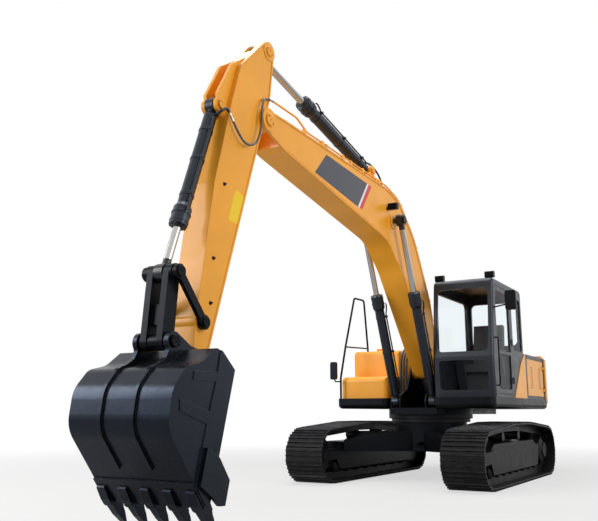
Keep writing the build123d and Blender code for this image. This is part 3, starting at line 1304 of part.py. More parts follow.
# A pipe runs along each edge of the boom's back, from the foot to beyond the fork, in clamps.
PIPE_END = (BOOM_LENGTH + 20, 281)
with BuildPart() as boom_pipes:
    for side in (-1, 1):
        with BuildLine(link_plane(BOOM_FOOT, BOOM_ANGLE, side * PIPE_ACROSS)) as pipe_path:
            FilletPolyline(
                (420, 606 + PIPE_LIFT),
                (690, 862 + PIPE_LIFT),
                (1612, 1400 + PIPE_LIFT),
                (2350, 1588 + PIPE_LIFT),
                (2825, 1470 + PIPE_LIFT),
                (BOOM_LENGTH - 723, 479 + PIPE_LIFT),
                (BOOM_LENGTH - 451, 500),
                PIPE_END,
                radius=[1200, 1200, 700, 700, 200, 200],
            )
        add(tube(pipe_path, PIPE_RADIUS))
        for share in (0.06, 0.22, 0.36, 0.52, 0.66, 0.78):
            clamp_plane = Plane(
                origin=pipe_path.line @ share, x_dir=pipe_path.line % share, z_dir=(0, -1, 0)
            )
            with BuildSketch(clamp_plane):
                with Locations((0, (PIPE_RADIUS - PIPE_LIFT) / 2)):
                    Rectangle(PIPE_CLAMP, PIPE_LIFT + PIPE_RADIUS + 4)
            extrude(amount=PIPE_RADIUS + 2, both=True)
    add(boom.part, mode=Mode.SUBTRACT)
boom_pipes.part.label = "boom_pipes"
export_step(boom_pipes.part, "parts/boom_pipes.step")

# Work lamp on a bracket from the boom's left side, above the cylinder's eye.
LAMP_X, LAMP_Z = place(BOOM_FOOT, BOOM_ANGLE, BOOM_LAMP)
LAMP_INNER = BOOM_WIDTH / 2 - WEB_INSET + SEAT_GAP
with BuildPart() as boom_lamp:
    with BuildSketch(side_plane(LAMP_INNER + MOVING_GAP + LAMP_WIDTH / 2 + 20)):
        with Locations((LAMP_X, LAMP_Z)):
            RectangleRounded(LAMP_THICK, LAMP_TALL, 14)
    extrude(amount=LAMP_WIDTH / 2, both=True)
    with BuildSketch(side_plane(LAMP_INNER)):
        with Locations((LAMP_X, LAMP_Z - LAMP_TALL / 4)):
            Rectangle(LAMP_THICK * 0.6, LAMP_TALL * 0.4)
    extrude(amount=-LAMP_WIDTH / 2)
boom_lamp.part.label = "boom_lamp"
export_step(boom_lamp.part, "parts/boom_lamp.step")

# ---------------------------------------------------------------- arm
with BuildSketch() as arm_bosses:
    for point, radius in (
        ((0, 0), ARM_BOSS_RADIUS),
        ((ARM_LENGTH, 0), ARM_TIP_RADIUS),
        (ARM_CYLINDER_EYE, 110),
        (GUIDE_PIVOT, 95),
    ):
        with Locations(point):
            Circle(radius)

with BuildSketch() as arm_outline:
    with BuildLine():
        Polyline(
            *ARM_HEEL,
            (ARM_LENGTH, -ARM_TIP_RADIUS),
            (ARM_LENGTH, ARM_TIP_RADIUS),
            (ARM_LENGTH - ARM_NOSE, 216),
            (1227, 505),
            (240, 610),
            (-240, 640),
            (ARM_CYLINDER_EYE[0] - 30, ARM_CYLINDER_EYE[1] + 120),
            close=True,
        )
    make_face()
    add(arm_bosses.sketch)

with BuildPart() as arm:
    with BuildSketch(link_plane(ARM_PIN, ARM_ANGLE)):
        add(arm_outline.sketch)
    extrude(amount=ARM_WIDTH / 2, both=True)
    for side in (-1, 1):
        with BuildSketch(link_plane(ARM_PIN, ARM_ANGLE, side * (ARM_WIDTH / 2 - WEB_INSET))):
            offset(arm_outline.sketch, amount=-FLANGE_EDGE)
            add(arm_bosses.sketch, mode=Mode.SUBTRACT)
        extrude(amount=-side * WEB_INSET, mode=Mode.SUBTRACT)
    with BuildSketch(link_plane(ARM_PIN, ARM_ANGLE)):
        with Locations(ARM_CYLINDER_EYE):
            Circle(ARM_CYLINDER_EYE[1] - 20)
        with Locations(BUCKET_CYLINDER_BASE):
            Circle(EYE_RADIUS + 3 * MOVING_GAP)
    extrude(amount=EAR_INNER, both=True, mode=Mode.SUBTRACT)
    for side in (-1, 1):
        with BuildSketch(link_plane(ARM_PIN, ARM_ANGLE, side * (EAR_INNER + EAR_PLATE / 2))):
            with BuildLine():
                Polyline(
                    (-440, 560),
                    (-208, 715),
                    (BUCKET_CYLINDER_BASE[0] - 90, BUCKET_CYLINDER_BASE[1] + 90),
                    (BUCKET_CYLINDER_BASE[0] + 80, BUCKET_CYLINDER_BASE[1] - 20),
                    (BUCKET_CYLINDER_BASE[0] + 110, 540),
                    close=True,
                )
            make_face()
            with Locations(BUCKET_CYLINDER_BASE):
                Circle(82)
        extrude(amount=EAR_PLATE / 2, both=True)
    with BuildSketch(link_plane(ARM_PIN, ARM_ANGLE)):
        with Locations(BUCKET_CYLINDER_BASE):
            Circle(CYLINDER_PIN_RADIUS)
    extrude(amount=EAR_INNER + EAR_PLATE + 10, both=True)
    with BuildSketch(link_plane(ARM_PIN, ARM_ANGLE)):
        Circle(ARM_PIN_RADIUS + PIN_GAP)
    extrude(amount=ARM_WIDTH / 2, both=True, mode=Mode.SUBTRACT)
    with BuildSketch(link_plane(ARM_PIN, ARM_ANGLE)):
        with Locations(GUIDE_PIVOT):
            Circle(BUCKET_PIN_RADIUS)
    extrude(amount=FORK_INNER + LINK_PLATE + 12, both=True)
    with BuildSketch(link_plane(ARM_PIN, ARM_ANGLE)):
        with Locations((ARM_LENGTH, 0)):
            Circle(BUCKET_PIN_RADIUS)
    extrude(amount=FORK_INNER + BUCKET_EAR_PLATE + 12, both=True)
arm.part.label = "arm"
export_step(arm.part, "parts/arm.step")

# ---------------------------------------------------------------- cylinders
# Each is a barrel with a welded eye and a gland, and a rod that slides in it. The rod's own eye
# carries its pin.


def barrel(start, turn, y_places, radius, length, rod_radius):
    """Barrels on one base pin: an eye round the pin, a tube, and a gland round the rod."""
    bore = radius - 12
    with BuildPart() as made:
        for y in y_places:
            with BuildSketch(link_plane(start, turn, y)):
                Circle(EYE_RADIUS)
            extrude(amount=EYE_HALF_WIDTH - SEAT_GAP, both=True)
            with BuildSketch(link_plane(start, turn, y)):
                with BuildLine():
                    Polyline(
                        (EYE_RADIUS * 0.6, 0),
                        (EYE_RADIUS * 0.6, BARREL_NECK),
                        (EYE_RADIUS + 8, BARREL_NECK),
                        (EYE_RADIUS + 45, radius),
                        (length - GLAND_LENGTH - GLAND_SHOULDER, radius),
                        (length - GLAND_LENGTH, radius + GLAND_PROUD),
                        (length - 15, radius + GLAND_PROUD),
                        (length, radius - 4),
                        (length, rod_radius + PIN_GAP),
                        (length - GLAND_LENGTH, rod_radius + PIN_GAP),
                        (length - GLAND_LENGTH, bore),
                        (EYE_RADIUS + 50, bore),
                        (EYE_RADIUS + 50, 0),
                        close=True,
                    )
                make_face()
            revolve(axis=Axis((start[0], y, start[1]), link_plane(start, turn, y).x_dir))
            with BuildSketch(link_plane(start, turn, y)):
                Circle(CYLINDER_PIN_RADIUS + PIN_GAP)
            extrude(amount=EYE_HALF_WIDTH, both=True, mode=Mode.SUBTRACT)
    return made.part


def rod(start, turn, y_places, distance, radius, length):
    """Rods in those barrels, from inside the tube to an eye at the far pin."""
    with BuildPart() as made:
        for y in y_places:
            with BuildSketch(link_plane(start, turn, y)):
                with Locations((distance - length / 2 - EYE_RADIUS / 4, radius / 2)):
                    Rectangle(length - EYE_RADIUS / 2, radius)
            revolve(axis=Axis((start[0], y, start[1]), link_plane(start, turn, y).x_dir))
            with BuildSketch(link_plane(start, turn, y)):
                with Locations((distance, 0)):
                    Circle(EYE_RADIUS)
            extrude(amount=EYE_HALF_WIDTH - SEAT_GAP, both=True)
    return made.part


SPREAD = (-BOOM_CYLINDER_SPREAD, BOOM_CYLINDER_SPREAD)
boom_barrels = barrel(
    BOOM_CYLINDER_BASE,
    BOOM_CYLINDER_TURN,
    SPREAD,
    BOOM_BARREL_RADIUS,
    BOOM_BARREL_LENGTH,
    BOOM_ROD_RADIUS,
)
boom_barrels.label = "boom_barrels"
export_step(boom_barrels, "parts/boom_barrels.step")

with BuildPart() as boom_rods:
    add(rod(BOOM_CYLINDER_BASE, BOOM_CYLINDER_TURN, SPREAD, BOOM_CYLINDER_SPAN, BOOM_ROD_RADIUS, BOOM_ROD_LENGTH))
    for side in (-1, 1):
        with BuildSketch(side_plane(side * (BOOM_WIDTH / 2 + 15 + MOVING_GAP))):
            with Locations(BOOM_EYE):
                Circle(CYLINDER_PIN_RADIUS)
        extrude(amount=-side * (CYLINDER_OUTER - BOOM_WIDTH / 2 - 15 - MOVING_GAP + 20))
boom_rods.part.label = "boom_rods"
export_step(boom_rods.part, "parts/boom_rods.step")

arm_barrel = barrel(ARM_BASE, ARM_CYLINDER_TURN, (0,), ARM_BARREL_RADIUS, ARM_BARREL_LENGTH, ARM_ROD_RADIUS)
arm_barrel.label = "arm_barrel"
export_step(arm_barrel, "parts/arm_barrel.step")
arm_rod = rod(ARM_BASE, ARM_CYLINDER_TURN, (0,), ARM_CYLINDER_SPAN, ARM_ROD_RADIUS, ARM_ROD_LENGTH)
arm_rod.label = "arm_rod"
export_step(arm_rod, "parts/arm_rod.step")

bucket_barrel = barrel(
    BUCKET_BASE,
    BUCKET_CYLINDER_TURN,
    (0,),
    BUCKET_BARREL_RADIUS,
    BUCKET_BARREL_LENGTH,
    BUCKET_ROD_RADIUS,
)
bucket_barrel.label = "bucket_barrel"
export_step(bucket_barrel, "parts/bucket_barrel.step")
bucket_rod = rod(
    BUCKET_BASE,
    BUCKET_CYLINDER_TURN,
    (0,),
    BUCKET_CYLINDER_SPAN,
    BUCKET_ROD_RADIUS,
    BUCKET_ROD_LENGTH,
)
bucket_rod.label = "bucket_rod"
export_step(bucket_rod, "parts/bucket_rod.step")

# ---------------------------------------------------------------- hoses
# Hoses are round, along chosen points. Each corner is bent as widely as its runs allow.


def hose(points, diameter):
    """A hose through some points in space, and the bend of each corner."""
    runs = [Vector(b) - Vector(a) for a, b in zip(points, points[1:])]
    bends = []
    for first, second in zip(runs, runs[1:]):
        turn = radians(first.get_angle(second))
        bends.append(0.45 * min(first.length, second.length) / tan(turn / 2))
    with BuildLine() as path:
        FilletPolyline(*points, radius=bends)
    length = sum(edge.length for edge in path.edges())
    print("hose length", round(length), "bends", [round(bend) for bend in bends])
    return tube(path, diameter / 2)


def side_points(start, turn, y, points):
    """Points of a turned frame, y to the left of the middle, as points in space."""
    return [(x, y, z) for x, z in (place(start, turn, point) for point in points)]


PIPE_MOUTH = place(BOOM_FOOT, BOOM_ANGLE, PIPE_END)
PORT_TURN = BUCKET_CYLINDER_TURN
PORT = place(BUCKET_BASE, PORT_TURN, (130, 0))
HOSE_END = (PORT[0] - 100, 172, PORT[1] + 30)
arm_hose = hose(
    (
        (PIPE_MOUTH[0] + SEAT_GAP, PIPE_ACROSS, PIPE_MOUTH[1]),
        (5300, PIPE_ACROSS, PIPE_MOUTH[1]),
        (5400, 200, 4300),
        (5410, 205, 4060),
        (5500, 205, 3840),
        (5700, 200, 3765),
        (5870, 195, 3890),
        HOSE_END,
    ),
    ARM_HOSE_DIAMETER,
)
arm_hose.label = "arm_hose"
export_step(arm_hose, "parts/arm_hose.step")

# The elbow in the bucket cylinder's port, which the hose ends on
with BuildLine() as port_path:
    FilletPolyline(
        (HOSE_END[0] + 5, HOSE_END[1] - 2, HOSE_END[2] + 9),
        (PORT[0] - 60, 165, PORT[1] + 75),
        (PORT[0], BUCKET_BARREL_RADIUS + 70, PORT[1] + 30),
        (PORT[0], BUCKET_BARREL_RADIUS + SEAT_GAP, PORT[1]),
        radius=22,
    )
bucket_port = tube(port_path, ARM_HOSE_DIAMETER * 0.6)
bucket_port.label = "bucket_port"
export_step(bucket_port, "parts/bucket_port.step")

# From the arm cylinder's port back over its ears to the boom's back
base_hose = hose(
    side_points(
        BOOM_FOOT,
        BOOM_ANGLE,
        0,
        ((3311, 1562), (3230, 1660), (2990, 1760), (2740, 1775), (2610, 1650), (2585, 1545)),
    ),
    BASE_HOSE_DIAMETER,
)
base_hose.label = "base_hose"
export_step(base_hose, "parts/base_hose.step")

# Three hoses in a row beside the boom's foot, from the spine over and down to it again
FOOT_HOSE_ROUTE = (
    (-500, SPINE_HIGH + SEAT_GAP),
    (-500, 1550),
    (-380, 1950),
    (-50, 2120),
    (220, 1980),
    (300, 1560),
    (300, SPINE_HIGH + SEAT_GAP),
)
for number in range(3):
    across = -FOOT_HOSE_FIRST - FOOT_HOSE_PITCH * number
    foot_hose = hose([(x, across, z) for x, z in FOOT_HOSE_ROUTE], FOOT_HOSE_DIAMETER)
    foot_hose.label = f"foot_hose_{number + 1}"
    export_step(foot_hose, f"parts/foot_hose_{number + 1}.step")

# ---------------------------------------------------------------- bucket linkage
with BuildPart() as guide_links:
    for side in (-1, 1):
        with BuildSketch(link_plane(GUIDE_PIN, GUIDE_TURN, side * (FORK_INNER + LINK_PLATE / 2))):
            with Locations((GUIDE_SPAN / 2, 0)):
                Rectangle(GUIDE_SPAN, GUIDE_BAR_WIDTH)
            with Locations((0, 0), (GUIDE_SPAN, 0)):
                Circle(GUIDE_BOSS_RADIUS)
            Circle(BUCKET_PIN_RADIUS + PIN_GAP, mode=Mode.SUBTRACT)
        extrude(amount=LINK_PLATE / 2, both=True)
        with BuildSketch(link_plane(GUIDE_PIN, GUIDE_TURN, side * (FORK_INNER + LINK_PLATE))):
            with Locations((0, 0), (GUIDE_SPAN, 0)):
                Circle(GUIDE_BOSS_RADIUS - LINK_BOSS)
            Circle(BUCKET_PIN_RADIUS + PIN_GAP, mode=Mode.SUBTRACT)
        extrude(amount=-side * LINK_BOSS)
guide_links.part.label = "guide_links"
export_step(guide_links.part, "parts/guide_links.step")

LINK_OUTER = LINK_HALF_WIDTH
with BuildPart() as bucket_link:
    for side in (-1, 1):
        with BuildSketch(link_plane(CURL_PIN, LINK_TURN, side * (EAR_INNER + LINK_OUTER) / 2)):
            with Locations((LINK_SPAN / 2, 0)):
                SlotCenterToCenter(LINK_SPAN, 2 * LINK_RADIUS)
        extrude(amount=(LINK_OUTER - EAR_INNER) / 2, both=True)
    with BuildSketch(link_plane(CURL_PIN, LINK_TURN)):
        with Locations((LINK_SPAN * 0.38, 0)):
            Rectangle(LINK_SPAN * 0.3, LINK_RADIUS * 0.9)
    extrude(amount=LINK_OUTER, both=True)
    with BuildSketch(link_plane(CURL_PIN, LINK_TURN)):
        Circle(LINK_RADIUS * 0.9)
    extrude(amount=ARM_WIDTH / 2, both=True)
    for side in (-1, 1):
        with BuildSketch(link_plane(CURL_PIN, LINK_TURN, side * LINK_OUTER)):
            with Locations((LINK_SPAN, 0)):
                Circle(LINK_RADIUS)
        extrude(amount=-side * (ARM_WIDTH / 2 - LINK_OUTER))
    with BuildSketch(link_plane(CURL_PIN, LINK_TURN)):
        Circle(BUCKET_PIN_RADIUS + PIN_GAP)
    extrude(amount=ARM_WIDTH / 2, both=True, mode=Mode.SUBTRACT)
bucket_link.part.label = "bucket_link"
export_step(bucket_link.part, "parts/bucket_link.step")

# ---------------------------------------------------------------- bucket
# Outlines for a bucket 1429 from its pin to the teeth's tips, sized to BUCKET_TIP_RADIUS
STANDARD_TIP_RADIUS = 1429.0


def bucket_points(*points):
    """Points of the bucket's own frame, sized to the bucket's real reach."""
    size = BUCKET_TIP_RADIUS / STANDARD_TIP_RADIUS
    return [(size * along, size * out) for along, out in points]


def bucket_plane(y=0.0):
    """A side plane of the bucket, y to the left of the middle."""
    return link_plane(BUCKET_PIN, BUCKET_ANGLE, y)


REAR_EDGE, REAR_CORNER, LIP_LOW, LIP_HIGH = bucket_points((-50, 200), (76, -5), (1239, 162), (1239, 212))
with BuildSketch() as bucket_outline:
    with BuildLine():
        FilletPolyline(
            REAR_EDGE,
            *bucket_points(
                (-66, 290), (92, 455), (170, 660), (370, 797), (690, 797), (1000, 465)
            ),
            LIP_HIGH,
            radius=[60, 250, 150, 260, 260, 700],
        )
        Polyline(LIP_HIGH, LIP_LOW, REAR_CORNER, REAR_EDGE)
    make_face()

# The hollow runs out past the mouth and past the pins, so that the bucket is open there.
with BuildSketch() as bucket_hollow:
    offset(bucket_outline.sketch, amount=-BUCKET_PLATE)
    with Locations((0, -40), (0, -80), (-30, -120)):
        add(bucket_hollow.sketch)
    with BuildLine():
        Polyline(
            *bucket_points((-120, 196), (-18, 196), (200, 150), (120, -60), (-120, -60)), close=True
        )
    make_face()

# What stands proud of the shell's back: two strips in line with the ears, and the lip's plate
with BuildSketch() as strip_zone:
    with BuildLine():
        Polyline(
            *bucket_points((30, 300), (-60, 800), (300, 960), (1250, 800), (960, 470), (420, 400)),
            close=True,
        )
    make_face()
# Both sides: a thicker strip along the mouth's edge, and two ribs pressed out of the side plate
with BuildSketch() as side_strip:
    with BuildLine():
        Polyline(
            *bucket_points((-400, 190), (-23, 229), (242, 255), (617, 320), (1001, 367), (1400, 380)),
            *bucket_points((1400, -200), (-400, -200)),
            close=True,
        )
    make_face()
    add(bucket_outline.sketch, mode=Mode.INTERSECT)
SIDE_RIBS = (
    ((134, 240), (225, 250), (262, 560), (190, 560)),
    ((485, 292), (590, 310), (533, 680), (440, 700)),
)
with BuildSketch() as lip_zone:
    with BuildLine():
        Polyline(*bucket_points((1030, 360), (1160, 480), (1300, 240), (1239, 190)), close=True)
    make_face()
with BuildSketch() as back_strip:
    offset(bucket_outline.sketch, amount=BACK_STRIP)
    add(bucket_hollow.sketch, mode=Mode.SUBTRACT)
    add(strip_zone.sketch, mode=Mode.INTERSECT)
with BuildSketch() as lip_plate:
    offset(bucket_outline.sketch, amount=LIP_WEAR_PLATE)
    add(bucket_hollow.sketch, mode=Mode.SUBTRACT)
    add(lip_zone.sketch, mode=Mode.INTERSECT)

with BuildPart() as bucket:
    with BuildSketch(bucket_plane()):
        add(bucket_outline.sketch)
    extrude(amount=BUCKET_WIDTH / 2, both=True)
    with BuildSketch(bucket_plane()):
        add(bucket_hollow.sketch)
    extrude(amount=BUCKET_WIDTH / 2 - BUCKET_PLATE, both=True, mode=Mode.SUBTRACT)
    with BuildSketch(bucket_plane()):
        add(lip_plate.sketch)
    extrude(amount=BUCKET_WIDTH / 2, both=True)
    for side in (-1, 1):
        with BuildSketch(bucket_plane(side * (FORK_INNER + BUCKET_EAR_PLATE / 2))):
            add(back_strip.sketch)
        extrude(amount=BACK_STRIP_WIDTH / 2, both=True)
        with BuildSketch(bucket_plane(side * BUCKET_WIDTH / 2)):
            add(side_strip.sketch)
        extrude(amount=-side * SIDE_STRIP)
        with BuildSketch(bucket_plane(side * BUCKET_WIDTH / 2)):
            for rib in SIDE_RIBS:
                with BuildLine():
                    Polyline(*bucket_points(*rib), close=True)
                make_face()
        extrude(amount=-side * SIDE_RIB)
    for side in (-1, 1):
        with BuildSketch(bucket_plane(side * (FORK_INNER + BUCKET_EAR_PLATE / 2))):
            with BuildLine():
                Polyline(
                    *bucket_points(
                        (-95, -40),
                        (-112, 210),
                        (-190, 420),
                        (-104, 526),
                        (-20, 492),
                        (56, 520),
                        (120, 600),
                        (176, 700),
                        (172, 640),
                        (88, 452),
                        (-48, 288),
                        (-36, 200),
                        (40, 100),
                        (98, 40),
                    ),
                    close=True,
                )
            make_face()
            Circle(105)
            with Locations(BUCKET_LINK_PIN):
                Circle(88)
            Circle(BUCKET_PIN_RADIUS + PIN_GAP, mode=Mode.SUBTRACT)
        extrude(amount=BUCKET_EAR_PLATE / 2, both=True)
    with BuildSketch(bucket_plane()):
        with Locations(BUCKET_LINK_PIN):
            Circle(BUCKET_PIN_RADIUS)
    extrude(amount=FORK_INNER + BUCKET_EAR_PLATE + 12, both=True)
bucket.part.label = "bucket"
export_step(bucket.part, "parts/bucket.step")

# Teeth: each a cap on an adapter whose legs straddle the lip. One side outline runs across the
# bucket, and their outlines seen along the wrap cut it into five that narrow to the tips.
TOOTH_PITCH = (BUCKET_WIDTH - TOOTH_WIDTH - 20) / (TOOTH_COUNT - 1)
TOOTH_ROOT, CAP_START = bucket_points((1090, 0), (1284, 0))
TOOTH_HALVES = (
    # along, half width
    (TOOTH_ROOT[0], TOOTH_WIDTH * 0.36),
    (TOOTH_ROOT[0] + 70, TOOTH_WIDTH * 0.5),
    (CAP_START[0], TOOTH_WIDTH * 0.5),
    (CAP_START[0], TOOTH_WIDTH * 0.44),
    (BUCKET_TIP_RADIUS + 5, TOOTH_WIDTH * TOOTH_TAPER / 2),
)
tooth_along = bucket_plane().x_dir
tooth_plane = Plane(origin=bucket_plane().origin, x_dir=tooth_along, z_dir=tooth_along.cross(Vector(0, 1, 0)))
with BuildPart() as teeth:
    with BuildSketch(bucket_plane()):
        with BuildLine():
            Polyline(
                *bucket_points(
                    (1112, 345),
                    (1146, 362),
                    (1242, 284),
                    (1292, 228),
                    (1283, 218),
                    (1362, 122),
                ),
                (BUCKET_TIP_RADIUS, 8),
                (BUCKET_TIP_RADIUS - 8, -6),
                *bucket_points(
                    (1330, 46),
                    (1266, 98),
                    (1256, 90),
                    (1212, 128),
                    (1102, 250),
                ),
                close=True,
            )
        make_face()
    extrude(amount=BUCKET_WIDTH / 2, both=True)
    with BuildSketch(tooth_plane):
        for number in range(TOOTH_COUNT):
            y = TOOTH_PITCH * (number - (TOOTH_COUNT - 1) / 2)
            with BuildLine():
                Polyline(
                    *((along, y - half) for along, half in TOOTH_HALVES),
                    *((along, y + half) for along, half in reversed(TOOTH_HALVES)),
                    close=True,
                )
            make_face()
    extrude(amount=BUCKET_TIP_RADIUS / 2, both=True, mode=Mode.INTERSECT)
    add(bucket.part, mode=Mode.SUBTRACT)
teeth.part.label = "bucket_teeth"
export_step(teeth.part, "parts/bucket_teeth.step")

with BuildPart() as side_cutters:
    for side in (-1, 1):
        across = side * (BUCKET_WIDTH / 2 + SIDE_STRIP + SEAT_GAP + SIDE_CUTTER_PLATE / 2)
        with BuildSketch(bucket_plane(across)):
            with BuildLine():
                Polyline(
                    *bucket_points(
                        (778, 312), (842, 134), (1011, -40), (1222, -10), (1229, 70), (1165, 180), (1087, 350)
                    ),
                    close=True,
                )
            make_face()
        extrude(amount=SIDE_CUTTER_PLATE / 2, both=True)
side_cutters.part.label = "side_cutters"
export_step(side_cutters.part, "parts/side_cutters.step")
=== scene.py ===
"""Looks of a crawler excavator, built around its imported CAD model. Sizes are metres.

+X points over the tracks to the bucket, +Y to the cab's side, +Z up. The origin is on the
ground, on the slewing axis.
"""

import json
import math

import bmesh
import bpy
from mathutils import Matrix, Vector


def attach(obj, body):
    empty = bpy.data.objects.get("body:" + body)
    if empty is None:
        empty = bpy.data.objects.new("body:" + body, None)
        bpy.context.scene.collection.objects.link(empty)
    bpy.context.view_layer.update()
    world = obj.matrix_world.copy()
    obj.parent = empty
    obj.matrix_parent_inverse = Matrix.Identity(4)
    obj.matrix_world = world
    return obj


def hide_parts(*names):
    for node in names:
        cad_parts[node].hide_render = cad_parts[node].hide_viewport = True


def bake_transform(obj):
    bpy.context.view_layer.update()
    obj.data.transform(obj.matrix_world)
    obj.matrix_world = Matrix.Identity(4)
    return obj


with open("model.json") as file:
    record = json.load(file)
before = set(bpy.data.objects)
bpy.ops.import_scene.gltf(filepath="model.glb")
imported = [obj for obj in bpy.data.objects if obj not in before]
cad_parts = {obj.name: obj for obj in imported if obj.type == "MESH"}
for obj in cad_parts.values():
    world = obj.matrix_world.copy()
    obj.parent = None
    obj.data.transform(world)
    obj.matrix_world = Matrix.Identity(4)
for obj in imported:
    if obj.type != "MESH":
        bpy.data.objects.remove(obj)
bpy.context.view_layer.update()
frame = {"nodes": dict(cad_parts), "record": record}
nodes = frame["nodes"]

# ---------------------------------------------------------------- camera
# It stands at a person's chest height, ahead of the left track, and looks slightly upwards along
# the machine, so that the bucket hangs in front.
CAMERA_PLACE = Vector((11.85, 4.43, 1.03))
CAMERA_TURN = math.radians(210.25)
CAMERA_RISE = math.radians(11.45)
LENS = 45.15

camera_data = bpy.data.cameras.new("camera")
camera_data.lens = LENS
camera_data.sensor_width = 36.0
camera_data.clip_end = 200.0
camera = bpy.data.objects.new("camera", camera_data)
bpy.context.scene.collection.objects.link(camera)
camera.location = CAMERA_PLACE
looking = Vector(
    (
        math.cos(CAMERA_RISE) * math.cos(CAMERA_TURN),
        math.cos(CAMERA_RISE) * math.sin(CAMERA_TURN),
        math.sin(CAMERA_RISE),
    )
)
camera.rotation_euler = looking.to_track_quat("-Z", "Y").to_euler()
bpy.context.scene.camera = camera

# ---------------------------------------------------------------- hoses
# Rubber hoses between steel fittings: one bridges the arm joint in a grey spiral guard, one
# feeds the arm cylinder, and three stand in a row on the deck beside the boom's foot.
ARM_HOSE = (
    (5.1256, 0.171, 4.4739),
    (5.300, 0.171, 4.4739),
    (5.400, 0.200, 4.300),
    (5.410, 0.205, 4.060),
    (5.500, 0.205, 3.840),
    (5.700, 0.200, 3.765),
    (5.870, 0.195, 3.890),
    (5.9553, 0.172, 4.0353),
)
BASE_HOSE = (
    (2.4112, 0.0, 4.5754),
    (2.2954, 0.0, 4.6279),
    (2.0359, 0.0, 4.6126),
    (1.8046, 0.0, 4.5165),
    (1.7425, 0.0, 4.3472),
    (1.7661, 0.0, 4.2418),
)
FOOT_HOSE = (
    (-0.5, 1.1003),
    (-0.5, 1.55),
    (-0.38, 1.95),
    (-0.05, 2.12),
    (0.22, 1.98),
    (0.3, 1.56),
    (0.3, 1.1003),
)
FOOT_HOSE_ACROSS = (-0.29, -0.34, -0.39)
ARM_HOSE_DIAMETER = 0.025
BASE_HOSE_DIAMETER = 0.030
FOOT_HOSE_DIAMETER = 0.032
# The guard is a flat strip wound round the hose
GUARD_PITCH = 0.022
GUARD_GAP = 0.18
GUARD_DEPTH = 0.0022
STEP = 0.0028


def new_material(name):
    """A node material, with its tree and its Principled shader."""
    material = bpy.data.materials.new(name)
    material.use_nodes = True
    return material, material.node_tree, material.node_tree.nodes["Principled BSDF"]


def noise_bump(tree, shader, scale, strength, distance):
    """Fine relief from noise in the piece's own coordinates."""
    where = tree.nodes.new("ShaderNodeTexCoord")
    noise = tree.nodes.new("ShaderNodeTexNoise")
    noise.inputs["Scale"].default_value = scale
    bump = tree.nodes.new("ShaderNodeBump")
    bump.inputs["Strength"].default_value = strength
    bump.inputs["Distance"].default_value = distance
    tree.links.new(where.outputs["Object"], noise.inputs["Vector"])
    tree.links.new(noise.outputs["Fac"], bump.inputs["Height"])
    tree.links.new(bump.outputs["Normal"], shader.inputs["Normal"])
    return noise


def mottled(tree, shader, noise, dark, light):
    """Colour that wanders between two tones with a noise."""
    ramp = tree.nodes.new("ShaderNodeMix")
    ramp.data_type = "RGBA"
    ramp.inputs["A"].default_value = dark
    ramp.inputs["B"].default_value = light
    tree.links.new(noise.outputs["Fac"], ramp.inputs["Factor"])
    tree.links.new(ramp.outputs["Result"], shader.inputs["Base Color"])


def finished(obj, body, material):
    """Links a new piece, gives it its material and lets it ride on a CAD body."""
    bpy.context.scene.collection.objects.link(obj)
    obj.data.materials.clear()
    obj.data.materials.append(material)
    if body:
        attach(obj, body)
    return obj


def repaint(names, material):
    """Gives CAD nodes a material of this script in place of their own."""
    for name in names:
        nodes[name].data.materials.clear()
        nodes[name].data.materials.append(material)


CRISP = math.radians(38)


def piece(name, form, body, material, bevel=0.0):
    """A mesh piece from a form, smooth except where its faces turn sharply."""
    bmesh.ops.recalc_face_normals(form, faces=form.faces)
    for face in form.faces:
        face.smooth = True
    for edge in form.edges:
        edge.smooth = len(edge.link_faces) == 2 and edge.calc_face_angle(0) < CRISP
    mesh = bpy.data.meshes.new(name)
    form.to_mesh(mesh)
    form.free()
    made = finished(bpy.data.objects.new(name, mesh), body, material)
    if bevel:
        rounding = made.modifiers.new("rounding", "BEVEL")
        rounding.width = bevel
        rounding.segments = 2
        rounding.limit_method = "ANGLE"
        rounding.angle_limit = CRISP
        rounding.harden_normals = True
    return made


def joined(form, rings):
    """Skins a row of equal rings and closes both ends."""
    for first, second in zip(rings, rings[1:]):
        for i in range(len(first)):
            j = (i + 1) % len(first)
            form.faces.new((first[i], first[j], second[j], second[i]))
    form.faces.new(rings[0])
    form.faces.new(rings[-1])


def swept(form, points, radius, sides=16):
    """Adds a closed tube along points. The radius is a number or a rule of distance and angle."""
    rule = radius if callable(radius) else lambda distance, angle: radius
    side = (points[1] - points[0]).orthogonal().normalized()
    rings = []
    distance = 0.0
    for i, point in enumerate(points):
        ahead = (points[min(i + 1, len(points) - 1)] - points[max(i - 1, 0)]).normalized()
        side = (side - ahead * side.dot(ahead)).normalized()
        over = ahead.cross(side)
        if i:
            distance += (point - points[i - 1]).length
        ring = []
        for k in range(sides):
            angle = 2 * math.pi * k / sides
            reach = rule(distance, angle)
            outward = side * math.cos(angle) + over * math.sin(angle)
            ring.append(form.verts.new(point + outward * reach))
        rings.append(ring)
    joined(form, rings)


def nurbs_hose(name, points, diameter):
    """A smooth round hose whose control points are the route's points."""
    curve = bpy.data.curves.new(name, "CURVE")
    curve.dimensions = "3D"
    curve.resolution_u = 24
    curve.bevel_depth = diameter / 2
    curve.bevel_resolution = 6
    spline = curve.splines.new("NURBS")
    spline.points.add(len(points) - 1)
    for control, point in zip(spline.points, points):
        control.co = (*point, 1)
    spline.order_u = 3
    spline.use_endpoint_u = True
    return bpy.data.objects.new(name, curve)


